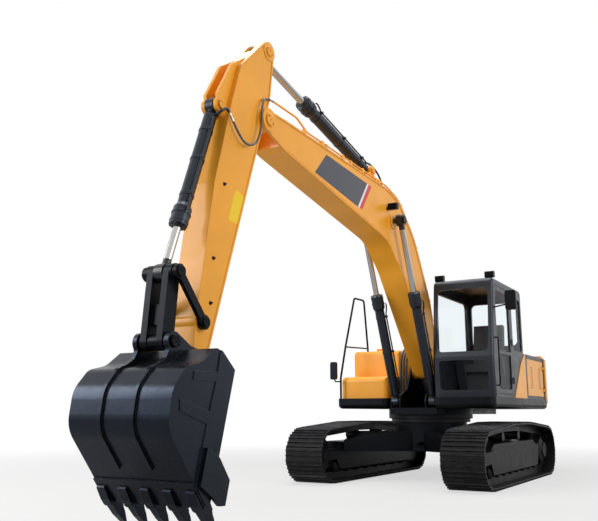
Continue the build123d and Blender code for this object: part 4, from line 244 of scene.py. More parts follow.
def along_line(curve_object, step):
    """Evenly spaced points on a bare curve's own line."""
    mesh = bpy.data.meshes.new_from_object(curve_object)
    line = [vertex.co.copy() for vertex in mesh.vertices]
    bpy.data.meshes.remove(mesh)
    lengths = [0.0]
    for first, second in zip(line, line[1:]):
        lengths.append(lengths[-1] + (second - first).length)
    count = int(lengths[-1] / step)
    found = []
    at = 0
    for i in range(count + 1):
        want = lengths[-1] * i / count
        while at < len(line) - 2 and lengths[at + 1] < want:
            at += 1
        share = (want - lengths[at]) / (lengths[at + 1] - lengths[at])
        found.append(line[at].lerp(line[at + 1], share))
    return found


rubber, tree, shader = new_material("hose_rubber")
shader.inputs["Roughness"].default_value = 0.42
shader.inputs["Specular IOR Level"].default_value = 0.4
noise = noise_bump(tree, shader, 70, 0.35, 0.002)
mottled(tree, shader, noise, (0.008, 0.008, 0.009, 1), (0.026, 0.026, 0.029, 1))

guard_plastic, tree, shader = new_material("spiral_guard")
shader.inputs["Roughness"].default_value = 0.36
noise = noise_bump(tree, shader, 40, 0.2, 0.001)
mottled(tree, shader, noise, (0.050, 0.055, 0.062, 1), (0.105, 0.113, 0.125, 1))

fitting_steel, tree, shader = new_material("plated_fittings")
shader.inputs["Metallic"].default_value = 1.0
shader.inputs["Roughness"].default_value = 0.28
noise = noise_bump(tree, shader, 120, 0.1, 0.001)
mottled(tree, shader, noise, (0.42, 0.41, 0.38, 1), (0.68, 0.68, 0.66, 1))

bare_line = nurbs_hose("arm_hose_line", ARM_HOSE, 0.0)
guard_line = along_line(bare_line, STEP)
bpy.data.objects.remove(bare_line)


def guard_radius(distance, angle):
    """The wound strip stands proud, with a narrow gap between its turns."""
    turn = (distance / GUARD_PITCH + angle / (2 * math.pi)) % 1.0
    proud = min(turn, 1.0 - turn) > GUARD_GAP / 2
    return ARM_HOSE_DIAMETER / 2 - (0 if proud else GUARD_DEPTH)


form = bmesh.new()
swept(form, guard_line, guard_radius, sides=20)
arm_hose = piece("arm_joint_hose", form, None, guard_plastic)
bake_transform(arm_hose)
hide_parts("arm_hose")


def ferrules(form, line, radius, lengths):
    """A pressed sleeve and a nut at the start of a hose's line."""
    ahead = (line[4] - line[0]).normalized()
    for start, reach, size, sides in lengths:
        row = [line[0] + ahead * (start + reach * share) for share in (0, 0.12, 0.88, 1)]
        rings = []
        side = ahead.orthogonal().normalized()
        over = ahead.cross(side)
        for number, centre in enumerate(row):
            wide = radius * size * (0.9 if number in (0, 3) else 1.0)
            rings.append(
                [
                    form.verts.new(
                        centre
                        + side * wide * math.cos(2 * math.pi * k / sides)
                        + over * wide * math.sin(2 * math.pi * k / sides)
                    )
                    for k in range(sides)
                ]
            )
        joined(form, rings)


FERRULE = ((0.0, 0.022, 1.45, 6), (0.022, 0.012, 1.12, 18), (0.034, 0.055, 1.22, 18))
FITTING_EDGE = 0.001
for end, body in (("boom", "boom"), ("arm", "arm")):
    form = bmesh.new()
    line = guard_line if end == "boom" else guard_line[::-1]
    ferrules(form, line, ARM_HOSE_DIAMETER / 2, FERRULE)
    piece(f"arm_hose_fitting_{end}", form, body, fitting_steel, bevel=FITTING_EDGE)

base_hose = nurbs_hose("arm_cylinder_hose", BASE_HOSE, BASE_HOSE_DIAMETER)
finished(base_hose, "boom", rubber)
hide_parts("base_hose")
bare_line = nurbs_hose("base_hose_line", BASE_HOSE, 0.0)
base_line = along_line(bare_line, 0.01)
bpy.data.objects.remove(bare_line)
form = bmesh.new()
ferrules(form, base_line, BASE_HOSE_DIAMETER / 2, FERRULE)
ferrules(form, base_line[::-1], BASE_HOSE_DIAMETER / 2, FERRULE)
base_fittings = piece(
    "base_hose_fittings", form, "boom", fitting_steel, bevel=FITTING_EDGE
)

for number, across in enumerate(FOOT_HOSE_ACROSS, start=1):
    route = [(x, across, z) for x, z in FOOT_HOSE]
    hose = nurbs_hose(f"deck_hose_{number}", route, FOOT_HOSE_DIAMETER)
    finished(hose, "house", rubber)
    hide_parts(f"foot_hose_{number}")
    form = bmesh.new()
    for end in (Vector(route[0]), Vector(route[-1])):
        upward = [end + Vector((0, 0, 0.01 * k)) for k in range(5)]
        ferrules(form, upward, FOOT_HOSE_DIAMETER / 2, FERRULE)
    fitting = piece(
        f"deck_hose_fittings_{number}",
        form,
        "house",
        fitting_steel,
        bevel=FITTING_EDGE,
    )

# ---------------------------------------------------------------- studio
# A pale floor that runs out to nothing, with a white surround and broad soft lamps.
FLOOR_RADIUS = 45.0
FLOOR_COLOUR = (0.46, 0.46, 0.46, 1)
FADE_START = 4.0
FADE_END = 13.0
FADE_LEAST = 0.62
SURROUND = 0.48

bpy.context.scene.view_settings.view_transform = "Standard"

floor_material, tree, shader = new_material("studio_floor")
shader.inputs["Base Color"].default_value = FLOOR_COLOUR
shader.inputs["Roughness"].default_value = 0.9
shader.inputs["Specular IOR Level"].default_value = 0.0
glow = tree.nodes.new("ShaderNodeEmission")
glow.inputs["Color"].default_value = (1, 1, 1, 1)
glow.inputs["Strength"].default_value = 1.0
ray = tree.nodes.new("ShaderNodeLightPath")
ground = tree.nodes.new("ShaderNodeNewGeometry")
distance = tree.nodes.new("ShaderNodeVectorMath")
distance.operation = "LENGTH"
fade = tree.nodes.new("ShaderNodeMapRange")
fade.inputs["From Min"].default_value = FADE_START
fade.inputs["From Max"].default_value = FADE_END
fade.inputs["To Min"].default_value = FADE_LEAST
fade.inputs["To Max"].default_value = 1.0
seen = tree.nodes.new("ShaderNodeMath")
seen.operation = "MULTIPLY"
mixing = tree.nodes.new("ShaderNodeMixShader")
tree.links.new(ground.outputs["Position"], distance.inputs[0])
tree.links.new(distance.outputs["Value"], fade.inputs["Value"])
tree.links.new(fade.outputs["Result"], seen.inputs[0])
tree.links.new(ray.outputs["Is Camera Ray"], seen.inputs[1])
tree.links.new(seen.outputs["Value"], mixing.inputs["Fac"])
tree.links.new(shader.outputs["BSDF"], mixing.inputs[1])
tree.links.new(glow.outputs["Emission"], mixing.inputs[2])
tree.links.new(mixing.outputs["Shader"], tree.nodes["Material Output"].inputs["Surface"])

floor_mesh = bpy.data.meshes.new("floor")
form = bmesh.new()
bmesh.ops.create_circle(form, cap_ends=True, segments=96, radius=FLOOR_RADIUS)
form.to_mesh(floor_mesh)
form.free()
floor = bpy.data.objects.new("floor", floor_mesh)
bpy.context.scene.collection.objects.link(floor)
floor.data.materials.append(floor_material)

world = bpy.data.worlds.new("surround")
world.use_nodes = True
bpy.context.scene.world = world
tree = world.node_tree
background = tree.nodes["Background"]
background.inputs["Color"].default_value = (1, 1, 1, 1)
ray = tree.nodes.new("ShaderNodeLightPath")
straight = tree.nodes.new("ShaderNodeMath")
straight.operation = "MAXIMUM"
bright = tree.nodes.new("ShaderNodeMath")
bright.operation = "MAXIMUM"
strength = tree.nodes.new("ShaderNodeMapRange")
strength.inputs["To Min"].default_value = SURROUND
strength.inputs["To Max"].default_value = 1.0
tree.links.new(ray.outputs["Is Camera Ray"], straight.inputs[0])
tree.links.new(ray.outputs["Is Transmission Ray"], straight.inputs[1])
tree.links.new(straight.outputs["Value"], bright.inputs[0])
tree.links.new(ray.outputs["Is Glossy Ray"], bright.inputs[1])
tree.links.new(bright.outputs["Value"], strength.inputs["Value"])
tree.links.new(strength.outputs["Result"], background.inputs["Strength"])

LAMPS = (
    # name, place, aim, size, power
    ("overhead", (1.5, -1.0, 10.5), (2.0, 0.0, 0.0), 8.0, 760),
    ("front_right", (11.0, -7.0, 5.5), (3.0, 0.0, 2.0), 5.0, 640),
    ("left", (4.0, 11.0, 5.0), (1.0, 0.0, 1.5), 6.0, 520),
)
for name, where, aim, size, power in LAMPS:
    lamp = bpy.data.lights.new(name, "AREA")
    lamp.shape = "SQUARE"
    lamp.size = size
    lamp.energy = power
    holder = bpy.data.objects.new(name, lamp)
    bpy.context.scene.collection.objects.link(holder)
    holder.location = where
    holder.rotation_euler = (Vector(aim) - Vector(where)).to_track_quat("-Z", "Y").to_euler()

# ---------------------------------------------------------------- paint and steel
# Sprayed enamel on welded plate: broad changes of shade, dust on what faces up, dull or bare
# edges, and the fine unevenness of a thick coat. The CAD nodes take their finish here.


def surface_group():
    """Weathered paint: in, its colours and amounts; out, colour, roughness and normal."""
    group = bpy.data.node_groups.new("weathered_paint", "ShaderNodeTree")
    for name, kind, value in (
        ("Colour", "NodeSocketColor", (0.8, 0.4, 0.05, 1)),
        ("Dust Colour", "NodeSocketColor", (0.45, 0.38, 0.28, 1)),
        ("Edge Colour", "NodeSocketColor", (0.3, 0.3, 0.3, 1)),
        ("Dust", "NodeSocketFloat", 0.2),
        ("Edge", "NodeSocketFloat", 0.3),
        ("Roughness", "NodeSocketFloat", 0.35),
        ("Scale", "NodeSocketFloat", 1.0),
        ("Edge Radius", "NodeSocketFloat", 0.006),
        ("Relief", "NodeSocketFloat", 0.05),
    ):
        socket = group.interface.new_socket(name, in_out="INPUT", socket_type=kind)
        socket.default_value = value
    for name, kind in (
        ("Colour", "NodeSocketColor"),
        ("Roughness", "NodeSocketFloat"),
        ("Normal", "NodeSocketVector"),
    ):
        group.interface.new_socket(name, in_out="OUTPUT", socket_type=kind)
    new, link = group.nodes.new, group.links.new
    inside, outside = new("NodeGroupInput"), new("NodeGroupOutput")
    where = new("ShaderNodeTexCoord")
    sized = new("ShaderNodeVectorMath")
    sized.operation = "SCALE"
    link(where.outputs["Object"], sized.inputs[0])
    link(inside.outputs["Scale"], sized.inputs["Scale"])

    def noise(scale, detail=4.0, roughness=0.55):
        made = new("ShaderNodeTexNoise")
        made.inputs["Scale"].default_value = scale
        made.inputs["Detail"].default_value = detail
        made.inputs["Roughness"].default_value = roughness
        link(sized.outputs["Vector"], made.inputs["Vector"])
        return made.outputs["Fac"]

    def ranged(source, low, high, to_low=0.0, to_high=1.0):
        made = new("ShaderNodeMapRange")
        made.inputs["From Min"].default_value = low
        made.inputs["From Max"].default_value = high
        made.inputs["To Min"].default_value = to_low
        made.inputs["To Max"].default_value = to_high
        link(source, made.inputs["Value"])
        return made.outputs["Result"]

    def times(first, second):
        made = new("ShaderNodeMath")
        made.operation = "MULTIPLY"
        made.use_clamp = True
        link(first, made.inputs[0])
        link(second, made.inputs[1])
        return made.outputs["Value"]

    def mixed(amount, first, second):
        made = new("ShaderNodeMix")
        made.data_type = "RGBA"
        link(amount, made.inputs["Factor"])
        link(first, made.inputs["A"])
        link(second, made.inputs["B"])
        return made.outputs["Result"]

    shaded = new("ShaderNodeVectorMath")
    shaded.operation = "SCALE"
    link(inside.outputs["Colour"], shaded.inputs[0])
    link(ranged(noise(1.7, 3.0), 0.3, 0.7, 0.92, 1.05), shaded.inputs["Scale"])
    bevel = new("ShaderNodeBevel")
    bevel.samples = 4
    link(inside.outputs["Edge Radius"], bevel.inputs["Radius"])
    facing = new("ShaderNodeNewGeometry")
    corner = new("ShaderNodeVectorMath")
    corner.operation = "DOT_PRODUCT"
    link(bevel.outputs["Normal"], corner.inputs[0])
    link(facing.outputs["Normal"], corner.inputs[1])
    turning = ranged(corner.outputs["Value"], 0.985, 0.90)
    edges = times(turning, ranged(noise(9.0, 6.0, 0.7), 0.42, 0.58))
    edges = times(edges, inside.outputs["Edge"])
    upward = new("ShaderNodeSeparateXYZ")
    link(where.outputs["Normal"], upward.inputs["Vector"])
    lying = ranged(upward.outputs["Z"], 0.1, 0.9, 0.2, 1.0)
    settled = times(lying, ranged(noise(3.1, 8.0, 0.65), 0.35, 0.75))
    settled = times(settled, inside.outputs["Dust"])
    colour = mixed(edges, shaded.outputs["Vector"], inside.outputs["Edge Colour"])
    link(mixed(settled, colour, inside.outputs["Dust Colour"]), outside.inputs["Colour"])
    varied = new("ShaderNodeMath")
    varied.operation = "ADD"
    link(inside.outputs["Roughness"], varied.inputs[0])
    link(ranged(noise(6.0, 4.0), 0.3, 0.7, -0.05, 0.07), varied.inputs[1])
    rough = new("ShaderNodeMath")
    rough.operation = "MULTIPLY_ADD"
    rough.use_clamp = True
    link(settled, rough.inputs[0])
    rough.inputs[1].default_value = 0.6
    link(varied.outputs["Value"], rough.inputs[2])
    link(rough.outputs["Value"], outside.inputs["Roughness"])
    bump = new("ShaderNodeBump")
    bump.inputs["Distance"].default_value = 0.004
    link(inside.outputs["Relief"], bump.inputs["Strength"])
    link(noise(60.0, 2.0), bump.inputs["Height"])
    link(bevel.outputs["Normal"], bump.inputs["Normal"])
    link(bump.outputs["Normal"], outside.inputs["Normal"])
    return group


weathered = surface_group()


def weathered_material(name, metallic=0.0, coat=0.0, gloss=0.5, painted_reflection_tint=(1, 1, 1, 1), **values):
    """A material whose surface comes from the weathered paint group with these values."""
    material, tree, shader = new_material(name)
    surface = tree.nodes.new("ShaderNodeGroup")
    surface.node_tree = weathered
    for socket, value in values.items():
        surface.inputs[socket.replace("_", " ")].default_value = value
    tree.links.new(surface.outputs["Colour"], shader.inputs["Base Color"])
    tree.links.new(surface.outputs["Roughness"], shader.inputs["Roughness"])
    tree.links.new(surface.outputs["Normal"], shader.inputs["Normal"])
    shader.inputs["Metallic"].default_value = metallic
    shader.inputs["Specular IOR Level"].default_value = gloss
    # Painted reflection: a bluish Specular Tint makes dark paint reflect as if under a blue sky,
    # which the white studio does not have.
    shader.inputs["Specular Tint"].default_value = painted_reflection_tint
    shader.inputs["Coat Weight"].default_value = coat
    shader.inputs["Coat Roughness"].default_value = 0.12
    return material


AMBER = (0.90, 0.375, 0.020, 1)
amber_paint = weathered_material(
    "amber_paint",
    coat=0.12,
    gloss=0.3,
    Colour=AMBER,
    Dust_Colour=(0.78, 0.46, 0.14, 1),
    Edge_Colour=(0.95, 0.50, 0.09, 1),
    Dust=0.22,
    Edge=0.35,
    Roughness=0.32,
)
black_paint = weathered_material(
    "black_paint",
    gloss=0.11,
    # painted bluish reflection tint
    painted_reflection_tint=(0.72, 0.84, 1, 1),
    Colour=(0.0045, 0.0045, 0.0055, 1),
    Dust_Colour=(0.035, 0.032, 0.03, 1),
    Edge_Colour=(0.05, 0.05, 0.055, 1),
    Dust=0.22,
    Edge=0.5,
    Roughness=0.30,
)
cab_paint = weathered_material(
    "cab_paint",
    gloss=0.4,
    # painted bluish reflection tint
    painted_reflection_tint=(0.8, 0.88, 1, 1),
    Colour=(0.012, 0.0135, 0.018, 1),
    Dust_Colour=(0.07, 0.07, 0.075, 1),
    Edge_Colour=(0.06, 0.065, 0.075, 1),
    Dust=0.12,
    Edge=0.35,
    Roughness=0.34,
)
track_steel = weathered_material(
    "track_steel",
    metallic=0.2,
    gloss=0.2,
    Colour=(0.0065, 0.0065, 0.008, 1),
    Dust_Colour=(0.045, 0.040, 0.036, 1),
    Edge_Colour=(0.14, 0.14, 0.15, 1),
    Dust=0.28,
    Edge=0.8,
    Roughness=0.38,
    Relief=0.2,
)
bucket_paint = weathered_material(
    "bucket_paint",
    gloss=0.30,
    # painted bluish reflection tint, stronger on the bucket
    painted_reflection_tint=(0.42, 0.62, 1, 1),
    Colour=(0.0042, 0.0042, 0.005, 1),
    Dust_Colour=(0.03, 0.028, 0.026, 1),
    Edge_Colour=(0.08, 0.078, 0.07, 1),
    Dust=0.15,
    Edge=0.6,
    Roughness=0.27,
)
cylinder_paint = weathered_material(
    "cylinder_paint",
    gloss=0.55,
    # painted bluish reflection tint on the barrels
    painted_reflection_tint=(0.70, 0.82, 1, 1),
    Colour=(0.006, 0.0062, 0.008, 1),
    Dust_Colour=(0.04, 0.04, 0.04, 1),
    Edge_Colour=(0.06, 0.06, 0.065, 1),
    Dust=0.12,
    Edge=0.4,
    Roughness=0.26,
)
SLOT_FINISHES = {
    "yellow_paint": amber_paint,
    "black_paint": black_paint,
    "dark_paint": cab_paint,
    "track_steel": track_steel,
    "hose_rubber": rubber,
}
slots = {row["node"]: row["material_slot"] for row in frame["record"]["subparts"]}
for node, slot in slots.items():
    if slot in SLOT_FINISHES:
        repaint([node], SLOT_FINISHES[slot])
repaint(("bucket", "side_cutters", "bucket_teeth"), bucket_paint)
repaint(("boom_barrels", "arm_barrel", "bucket_barrel", "bucket_port"), cylinder_paint)

# ---------------------------------------------------------------- piston rods and their eyes
# Ground and chromed bars; the forged eye at each outer end is painted black, so the finish
# changes where the eye begins.
ROD_EYES = (
    # node, place of the eye, how far its paint reaches
    ("boom_rods", (1.791, 3.8189), 0.145),
    ("arm_rod", (5.180, 5.0674), 0.150),
    ("bucket_rod", (6.6912, 2.2681), 0.140),
)
ROD_PAINT = (0.006, 0.006, 0.008, 1)
ROD_CHROME = (0.50, 0.49, 0.475, 1)


def rod_finish(name, eye, reach):
    """Chrome that turns to black paint near the eye, by distance in the side plane."""
    material, tree, shader = new_material(name)
    where = tree.nodes.new("ShaderNodeTexCoord")
    flat = tree.nodes.new("ShaderNodeVectorMath")
    flat.operation = "MULTIPLY"
    flat.inputs[1].default_value = (1, 0, 1)
    far = tree.nodes.new("ShaderNodeVectorMath")
    far.operation = "DISTANCE"
    far.inputs[1].default_value = (eye[0], 0, eye[1])
    painted = tree.nodes.new("ShaderNodeMath")
    painted.operation = "LESS_THAN"
    painted.inputs[1].default_value = reach
    finish = tree.nodes.new("ShaderNodeMix")
    finish.data_type = "RGBA"
    finish.inputs["A"].default_value = ROD_CHROME
    finish.inputs["B"].default_value = ROD_PAINT
    metal = tree.nodes.new("ShaderNodeMapRange")
    metal.inputs["To Min"].default_value = 1.0
    metal.inputs["To Max"].default_value = 0.0
    rough = tree.nodes.new("ShaderNodeMapRange")
    rough.inputs["To Min"].default_value = 0.17
    rough.inputs["To Max"].default_value = 0.34
    link = tree.links.new
    link(where.outputs["Object"], flat.inputs[0])
    link(flat.outputs["Vector"], far.inputs[0])
    link(far.outputs["Value"], painted.inputs[0])
    link(painted.outputs["Value"], finish.inputs["Factor"])
    link(painted.outputs["Value"], metal.inputs["Value"])
    link(painted.outputs["Value"], rough.inputs["Value"])
    link(finish.outputs["Result"], shader.inputs["Base Color"])
    link(metal.outputs["Result"], shader.inputs["Metallic"])
    link(rough.outputs["Result"], shader.inputs["Roughness"])
    noise_bump(tree, shader, 260, 0.04, 0.001)
    return material


for node, eye, reach in ROD_EYES:
    repaint([node], rod_finish(f"{node}_finish", eye, reach))

# ---------------------------------------------------------------- pin ends
# Each pin is kept by a turned end cap, held by two screws, with a grease nipple in its middle.
# The caps on the boom and arm are painted amber with the beam, those of the linkage black.
CAP_HEIGHT = 0.014
PIN_ENDS = (
    # name, body, x, z, how far out from the middle, radius, black
    ("arm_pivot", "boom", 5.2305, 4.2126, 0.200, 0.078, False),
    ("arm_cylinder_base", "boom", 2.3006, 4.4691, 0.110, 0.050, False),
    ("arm_cylinder_eye", "arm", 5.1800, 5.0674, 0.150, 0.062, False),
    ("bucket_cylinder_base", "arm", 6.0106, 4.1274, 0.108, 0.052, False),
    ("boom_cylinder_eye", "boom", 1.7910, 3.8189, 0.362, 0.058, True),
    ("bucket_pivot", "bucket", 6.3316, 1.4736, 0.2042, 0.066, True),
    ("link_pivot", "bucket", 6.7517, 1.6381, 0.2165, 0.058, True),
    ("guide_pivot", "guide_links", 6.3115, 1.8481, 0.2062, 0.050, True),
    ("joining_pin", "guide_links", 6.6912, 2.2681, 0.2062, 0.052, True),
)


def turned(form, place, direction, profile, sides=28, phase=0.0):
    """Adds a turned body along a direction: its profile is (distance along, radius)."""
    spin = Vector(direction).to_track_quat("Z", "Y").to_matrix()
    rings = []
    for along, radius in profile:
        ring = []
        for k in range(sides):
            angle = 2 * math.pi * k / sides + phase
            around = Vector((radius * math.cos(angle), radius * math.sin(angle), along))
            ring.append(form.verts.new(Vector(place) + spin @ around))
        rings.append(ring)
    joined(form, rings)


def bolt(form, place, direction, size):
    """Adds a hexagon screw of that head size on its washer."""
    turned(form, place, direction, ((0, size * 0.66), (size * 0.14, size * 0.66)), sides=16)
    turned(
        form,
        place,
        direction,
        ((size * 0.14, size * 0.52), (size * 0.62, size * 0.52), (size * 0.76, size * 0.40)),
        sides=6,
    )


for name, body, x, z, out, radius, black in PIN_ENDS:
    form = bmesh.new()
    for side in (1, -1):
        place = Vector((x, side * out, z))
        way = (0, side, 0)
        turned(
            form,
            place,
            way,
            (
                (0, radius),
                (CAP_HEIGHT * 0.7, radius),
                (CAP_HEIGHT, radius * 0.93),
                (CAP_HEIGHT, radius * 0.55),
                (CAP_HEIGHT * 0.75, radius * 0.50),
                (CAP_HEIGHT * 0.75, radius * 0.12),
                (CAP_HEIGHT * 1.35, radius * 0.10),
                (CAP_HEIGHT * 1.6, radius * 0.05),
            ),
        )
        for turn in (0.7, 0.7 + math.pi):
            seat = place + Vector(
                (math.cos(turn) * radius * 0.74, side * CAP_HEIGHT, math.sin(turn) * radius * 0.74)
            )
            bolt(form, seat, way, radius * 0.26)
    paint, slot = (black_paint, "black_paint") if black else (amber_paint, "yellow_paint")
    piece(f"pin_ends_{name}", form, body, paint)

# ---------------------------------------------------------------- cylinder heads and feed pipes
# Every barrel ends in a screwed head with a ring of bolts and a dark wiper ring, and a steel
# pipe runs along it from the base to the head, held by three strap clamps.
HEAD_BOLTS = 8
CYLINDERS = (
    # body, base pin, turn, y, barrel length, barrel radius, rod radius, side on which the pipe lies
    ("boom_barrels", (0.670, 1.200), 66.827, 0.305, 1.745, 0.072, 0.043, 1),
    ("boom_barrels", (0.670, 1.200), 66.827, -0.305, 1.745, 0.072, 0.043, 1),
    ("arm_barrel", (2.3006, 4.4691), 11.738, 0.0, 1.916, 0.080, 0.048, 1),
    ("bucket_barrel", (6.0106, 4.1274), -69.894, 0.0, 1.483, 0.068, 0.040, 1),
)
HEAD_LENGTH = 0.205
HEAD_PROUD = 0.021
HEAD_BOLT = 0.017
HEAD_BOLT_INSET = 0.013
HEAD_BOLT_BACK = 0.0145
HEAD_BANDS = (
    # how far behind the head's end, width, how proud
    (0.150, 0.018, 0.006),
    (0.060, 0.012, 0.004),
)
BAND_BED = 0.002
PIPE = 0.011
PIPE_GAP = 0.006
PIPE_START = 0.22
STRAP_WIDTH = 0.032
STRAP_BED = 0.001
STRAP_PROUD = 0.005
STRAP_BOLT = 0.014


def side_frame(pin, degrees):
    """Placing from a beam's or cylinder's own frame: (along it, up from it, to the left)."""
    c, s = math.cos(math.radians(degrees)), math.sin(math.radians(degrees))
    return Matrix(((c, -s, 0, pin[0]), (0, 0, 1, 0), (s, c, 0, pin[1]), (0, 0, 0, 1)))


wiper_rubber, tree, shader = new_material("wiper_rubber")
shader.inputs["Roughness"].default_value = 0.6
noise = noise_bump(tree, shader, 160, 0.3, 0.001)
mottled(tree, shader, noise, (0.004, 0.004, 0.004, 1), (0.012, 0.012, 0.013, 1))

for number, (body, base, turn, y, length, barrel, rod, pipe_side) in enumerate(CYLINDERS):
    place = side_frame(base, turn)
    along = (place.to_3x3() @ Vector((1, 0, 0))).normalized()
    form = bmesh.new()
    ring = barrel + HEAD_PROUD - HEAD_BOLT_INSET
    for k in range(HEAD_BOLTS):
        angle = 2 * math.pi * (k + 0.5) / HEAD_BOLTS
        head = place @ Vector(
            (length - HEAD_BOLT_BACK, ring * math.cos(angle), y + ring * math.sin(angle))
        )
        bolt(form, head, along, HEAD_BOLT)
    # two raised bands round the head
    for start, wide, proud in HEAD_BANDS:
        outer = barrel + HEAD_PROUD
        bed = outer - BAND_BED
        turned(
            form,
            place @ Vector((length - start, 0, y)),
            along,
            ((0, bed), (0, outer + proud), (wide, outer + proud), (wide, bed)),
            sides=40,
        )
    # feed pipe, its elbow into the head, and its clamps
    high = barrel + PIPE + PIPE_GAP
    spot = (high * 0.42, high * 0.91 * pipe_side)
    route = [
        (PIPE_START - 0.035, spot[0] * 0.80, spot[1] * 0.80),
        (PIPE_START - 0.020, spot[0] * 0.96, spot[1] * 0.96),
        (PIPE_START + 0.010, *spot),
        (length - HEAD_LENGTH - 0.12, *spot),
        (length - HEAD_LENGTH - 0.06, spot[0] * 1.18, spot[1] * 1.18),
        (length - HEAD_LENGTH + 0.02, spot[0] * 1.34, spot[1] * 1.34),
        (length - HEAD_LENGTH + 0.055, spot[0] * 1.25, spot[1] * 1.25),
    ]
    swept(form, [place @ Vector((a, b, y + c)) for a, b, c in route], PIPE, sides=12)
    for at in (PIPE_START + 0.10, length * 0.46, length - HEAD_LENGTH - 0.17):
        inner, outer = barrel - STRAP_BED, barrel + STRAP_PROUD
        turned(
            form,
            place @ Vector((at, 0, y)),
            along,
            ((0, inner), (0, outer), (STRAP_WIDTH, outer), (STRAP_WIDTH, inner)),
            sides=40,
        )
        grip = place @ Vector((at, spot[0], y + spot[1]))
        inner, outer = PIPE * 0.9, PIPE * 1.55
        turned(
            form,
            grip,
            along,
            ((0, inner), (0, outer), (STRAP_WIDTH, outer), (STRAP_WIDTH, inner)),
            sides=16,
        )
        away = (place.to_3x3() @ Vector((0, spot[0], spot[1]))).normalized()
        bolt(form, grip + along * STRAP_WIDTH / 2 + away * PIPE * 1.5, away, STRAP_BOLT)
    piece(f"cylinder_head_{number + 1}", form, body, cylinder_paint)
    form = bmesh.new()
    turned(
        form,
        place @ Vector((length + 0.0002, 0, y)),
        along,
        ((0, rod + 0.001), (0, rod + 0.018), (0.006, rod + 0.014), (0.008, rod + 0.001)),
        sides=40,
    )
    piece(f"wiper_ring_{number + 1}", form, body, wiper_rubber)

# ---------------------------------------------------------------- boom markings
# Printed films on both sides of the boom: a bare grey field that ends in a white and a red
# stripe. The field carries no lettering.
BOOM_SIDE = 0.177
FILM = 0.0012
BOOM_FRAME = side_frame((0.12, 1.72), 26.0)
BOOM_FILMS = (
    # name, colour, outline in the boom's frame
    (
        "grey_field",
        (0.050, 0.055, 0.074, 1),
        ((4.470, 0.610), (3.360, 1.085), (3.463, 0.580), (4.601, 0.194)),
    ),
    (
        "white_stripe",
        (0.80, 0.80, 0.79, 1),
        ((3.360, 1.085), (3.318, 1.104), (3.413, 0.604), (3.463, 0.580)),
    ),
    (
        "red_stripe",
        (0.66, 0.035, 0.045, 1),
        ((3.318, 1.104), (3.227, 1.140), (3.333, 0.640), (3.413, 0.604)),
    ),
)


def film_material(name, colour, roughness=0.3):
    """Printed vinyl: an even colour with a slight orange-peel shine and rubbed patches."""
    material, tree, shader = new_material(name)
    shader.inputs["Roughness"].default_value = roughness
    shader.inputs["Specular IOR Level"].default_value = 0.25
    noise = noise_bump(tree, shader, 45, 0.06, 0.001)
    rubbed = tuple(min(1.0, c * 0.9 + 0.015) for c in colour[:3]) + (1,)
    mottled(tree, shader, noise, rubbed, colour)
    return material


def plate(form, outline, place, low, high):
    """Adds a flat plate: an outline in a placing's own plane, between two distances from it."""
    bottom = [form.verts.new(place @ Vector((a, b, low))) for a, b in outline]
    top = [form.verts.new(place @ Vector((a, b, high))) for a, b in outline]
    joined(form, [bottom, top])


for name, colour, outline in BOOM_FILMS:
    form = bmesh.new()
    for side in (1, -1):
        plate(form, outline, BOOM_FRAME, side * BOOM_SIDE, side * (BOOM_SIDE + FILM))
    piece(f"boom_{name}", form, "boom", film_material(f"{name}_film", colour))

# ---------------------------------------------------------------- arm markings and nipples
# A blank yellow film sits on each side of the arm, and three grease nipples stand in small
# bosses along it.
ARM_SIDE = 0.142
ARM_FRAME = side_frame((5.23054, 4.21258), -68.1)
ARM_LABEL = (
    (1.062, 0.022),
    (1.075, 0.150),
    (1.093, 0.163),
    (1.200, 0.170),
    (1.430, 0.150),
    (1.446, 0.132),
    (1.395, -0.012),
    (1.378, -0.025),
    (1.200, -0.010),
    (1.078, 0.004),
)
NIPPLES = ((1.151, 0.352), (1.938, 0.202), (2.359, 0.066))
NIPPLE_PROFILE = ((0, 0.020), (0.008, 0.018), (0.010, 0.009), (0.024, 0.008), (0.030, 0.004))

form = bmesh.new()
for side in (1, -1):
    plate(form, ARM_LABEL, ARM_FRAME, side * ARM_SIDE, side * (ARM_SIDE + FILM))
piece("arm_label", form, "arm", film_material("yellow_film", (0.95, 0.62, 0.012, 1)))
form = bmesh.new()
for side in (1, -1):
    for along, out in NIPPLES:
        spot = ARM_FRAME @ Vector((along, out, side * ARM_SIDE))
        turned(form, spot, (0, side, 0), NIPPLE_PROFILE, sides=12)
piece("arm_grease_nipples", form, "arm", black_paint)

# ---------------------------------------------------------------- weld seams on boom and arm
# The side plates are let in between the flanges, and a fillet weld under the paint follows
# their long edges and the joint between the boom's two halves.
WELD = 0.0045
BEAD_RIPPLE = 0.12
BEAD_RATE = 180
BOOM_WELDS = (
    ((2.346, 1.562), (2.812, 1.446), (5.30, 0.290)),
    ((2.515, 0.790), (5.22, -0.022)),
    ((2.515, 0.783), (2.346, 1.562)),
    ((0.30, 0.030), (1.387, 0.470), (1.930, 0.688), (2.515, 0.783)),
)
ARM_WELDS = (
    ((0.300, 0.575), (1.222, 0.478), (2.560, 0.192)),
    ((0.569, 0.034), (2.800, -0.070)),
)


def seams(name, body, place, face, runs, material, size=WELD):
    """Weld beads along runs of points on both faces of a beam."""

    def bead(distance, angle):
        return size * (1 + BEAD_RIPPLE * math.sin(distance * BEAD_RATE))

    form = bmesh.new()
    for side in (1, -1):
        for run in runs:
            points = []
            for (a, b), (c, d) in zip(run, run[1:]):
                count = max(2, int(math.hypot(c - a, d - b) / 0.05))
                points += [(a + (c - a) * k / count, b + (d - b) * k / count) for k in range(count)]
            points.append(run[-1])
            line = [place @ Vector((a, b, side * face)) for a, b in points]
            swept(form, line, bead, sides=8)
    return piece(name, form, body, material)


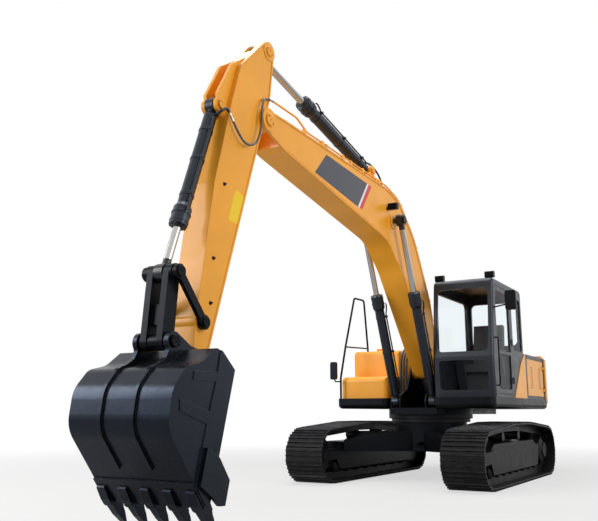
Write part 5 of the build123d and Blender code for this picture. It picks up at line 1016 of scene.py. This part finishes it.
seams("boom_weld_seams", "boom", BOOM_FRAME, BOOM_SIDE, BOOM_WELDS, amber_paint)
seams("arm_weld_seams", "arm", ARM_FRAME, ARM_SIDE, ARM_WELDS, amber_paint)

# ---------------------------------------------------------------- pipe clamps on the boom
# The two feed pipes lie in steel clamps that are screwed to welded pads on the boom's back.
CLAMP_SPOTS = ((5.02, 0.487), (4.62, 0.672), (4.10, 0.913), (3.55, 1.168), (3.05, 1.400))
CLAMP_LONG = 0.060
CLAMP_HALF_WIDTH = 0.018
CLAMP_FOOT = 0.055
CLAMP_SHOULDER = 0.010
CLAMP_TOP = 0.024
CLAMP_SCREW = 0.018
PIPE_LINE = 0.171

form = bmesh.new()
for side in (1, -1):
    for along, out in CLAMP_SPOTS:
        half = CLAMP_LONG / 2
        outline = (
            (along - half, out - CLAMP_FOOT),
            (along - half, out + CLAMP_SHOULDER),
            (along - half * 0.6, out + CLAMP_TOP),
            (along + half * 0.6, out + CLAMP_TOP),
            (along + half, out + CLAMP_SHOULDER),
            (along + half, out - CLAMP_FOOT),
        )
        middle = side * PIPE_LINE
        plate(form, outline, BOOM_FRAME, middle - CLAMP_HALF_WIDTH, middle + CLAMP_HALF_WIDTH)
        up = (BOOM_FRAME.to_3x3() @ Vector((0, 1, 0))).normalized()
        bolt(form, BOOM_FRAME @ Vector((along, out + CLAMP_TOP, middle)), up, CLAMP_SCREW)
piece("boom_pipe_clamps", form, "boom", amber_paint, bevel=0.002)

# ---------------------------------------------------------------- glass and plastic in the cab
# Clear panes set in the window openings. The consoles and the seat behind them are dark grained
# mouldings.
glass, tree, shader = new_material("window_glass")
shader.inputs["Base Color"].default_value = (0.93, 0.96, 0.97, 1)
shader.inputs["Roughness"].default_value = 0.02
shader.inputs["Transmission Weight"].default_value = 1.0
shader.inputs["IOR"].default_value = 1.05
repaint(("cab_glass", "door_glass"), glass)

plastic, tree, shader = new_material("moulded_plastic")
shader.inputs["Base Color"].default_value = (0.035, 0.035, 0.038, 1)
shader.inputs["Roughness"].default_value = 0.55
noise_bump(tree, shader, 250, 0.25, 0.001)
repaint(("consoles", "seat"), plastic)
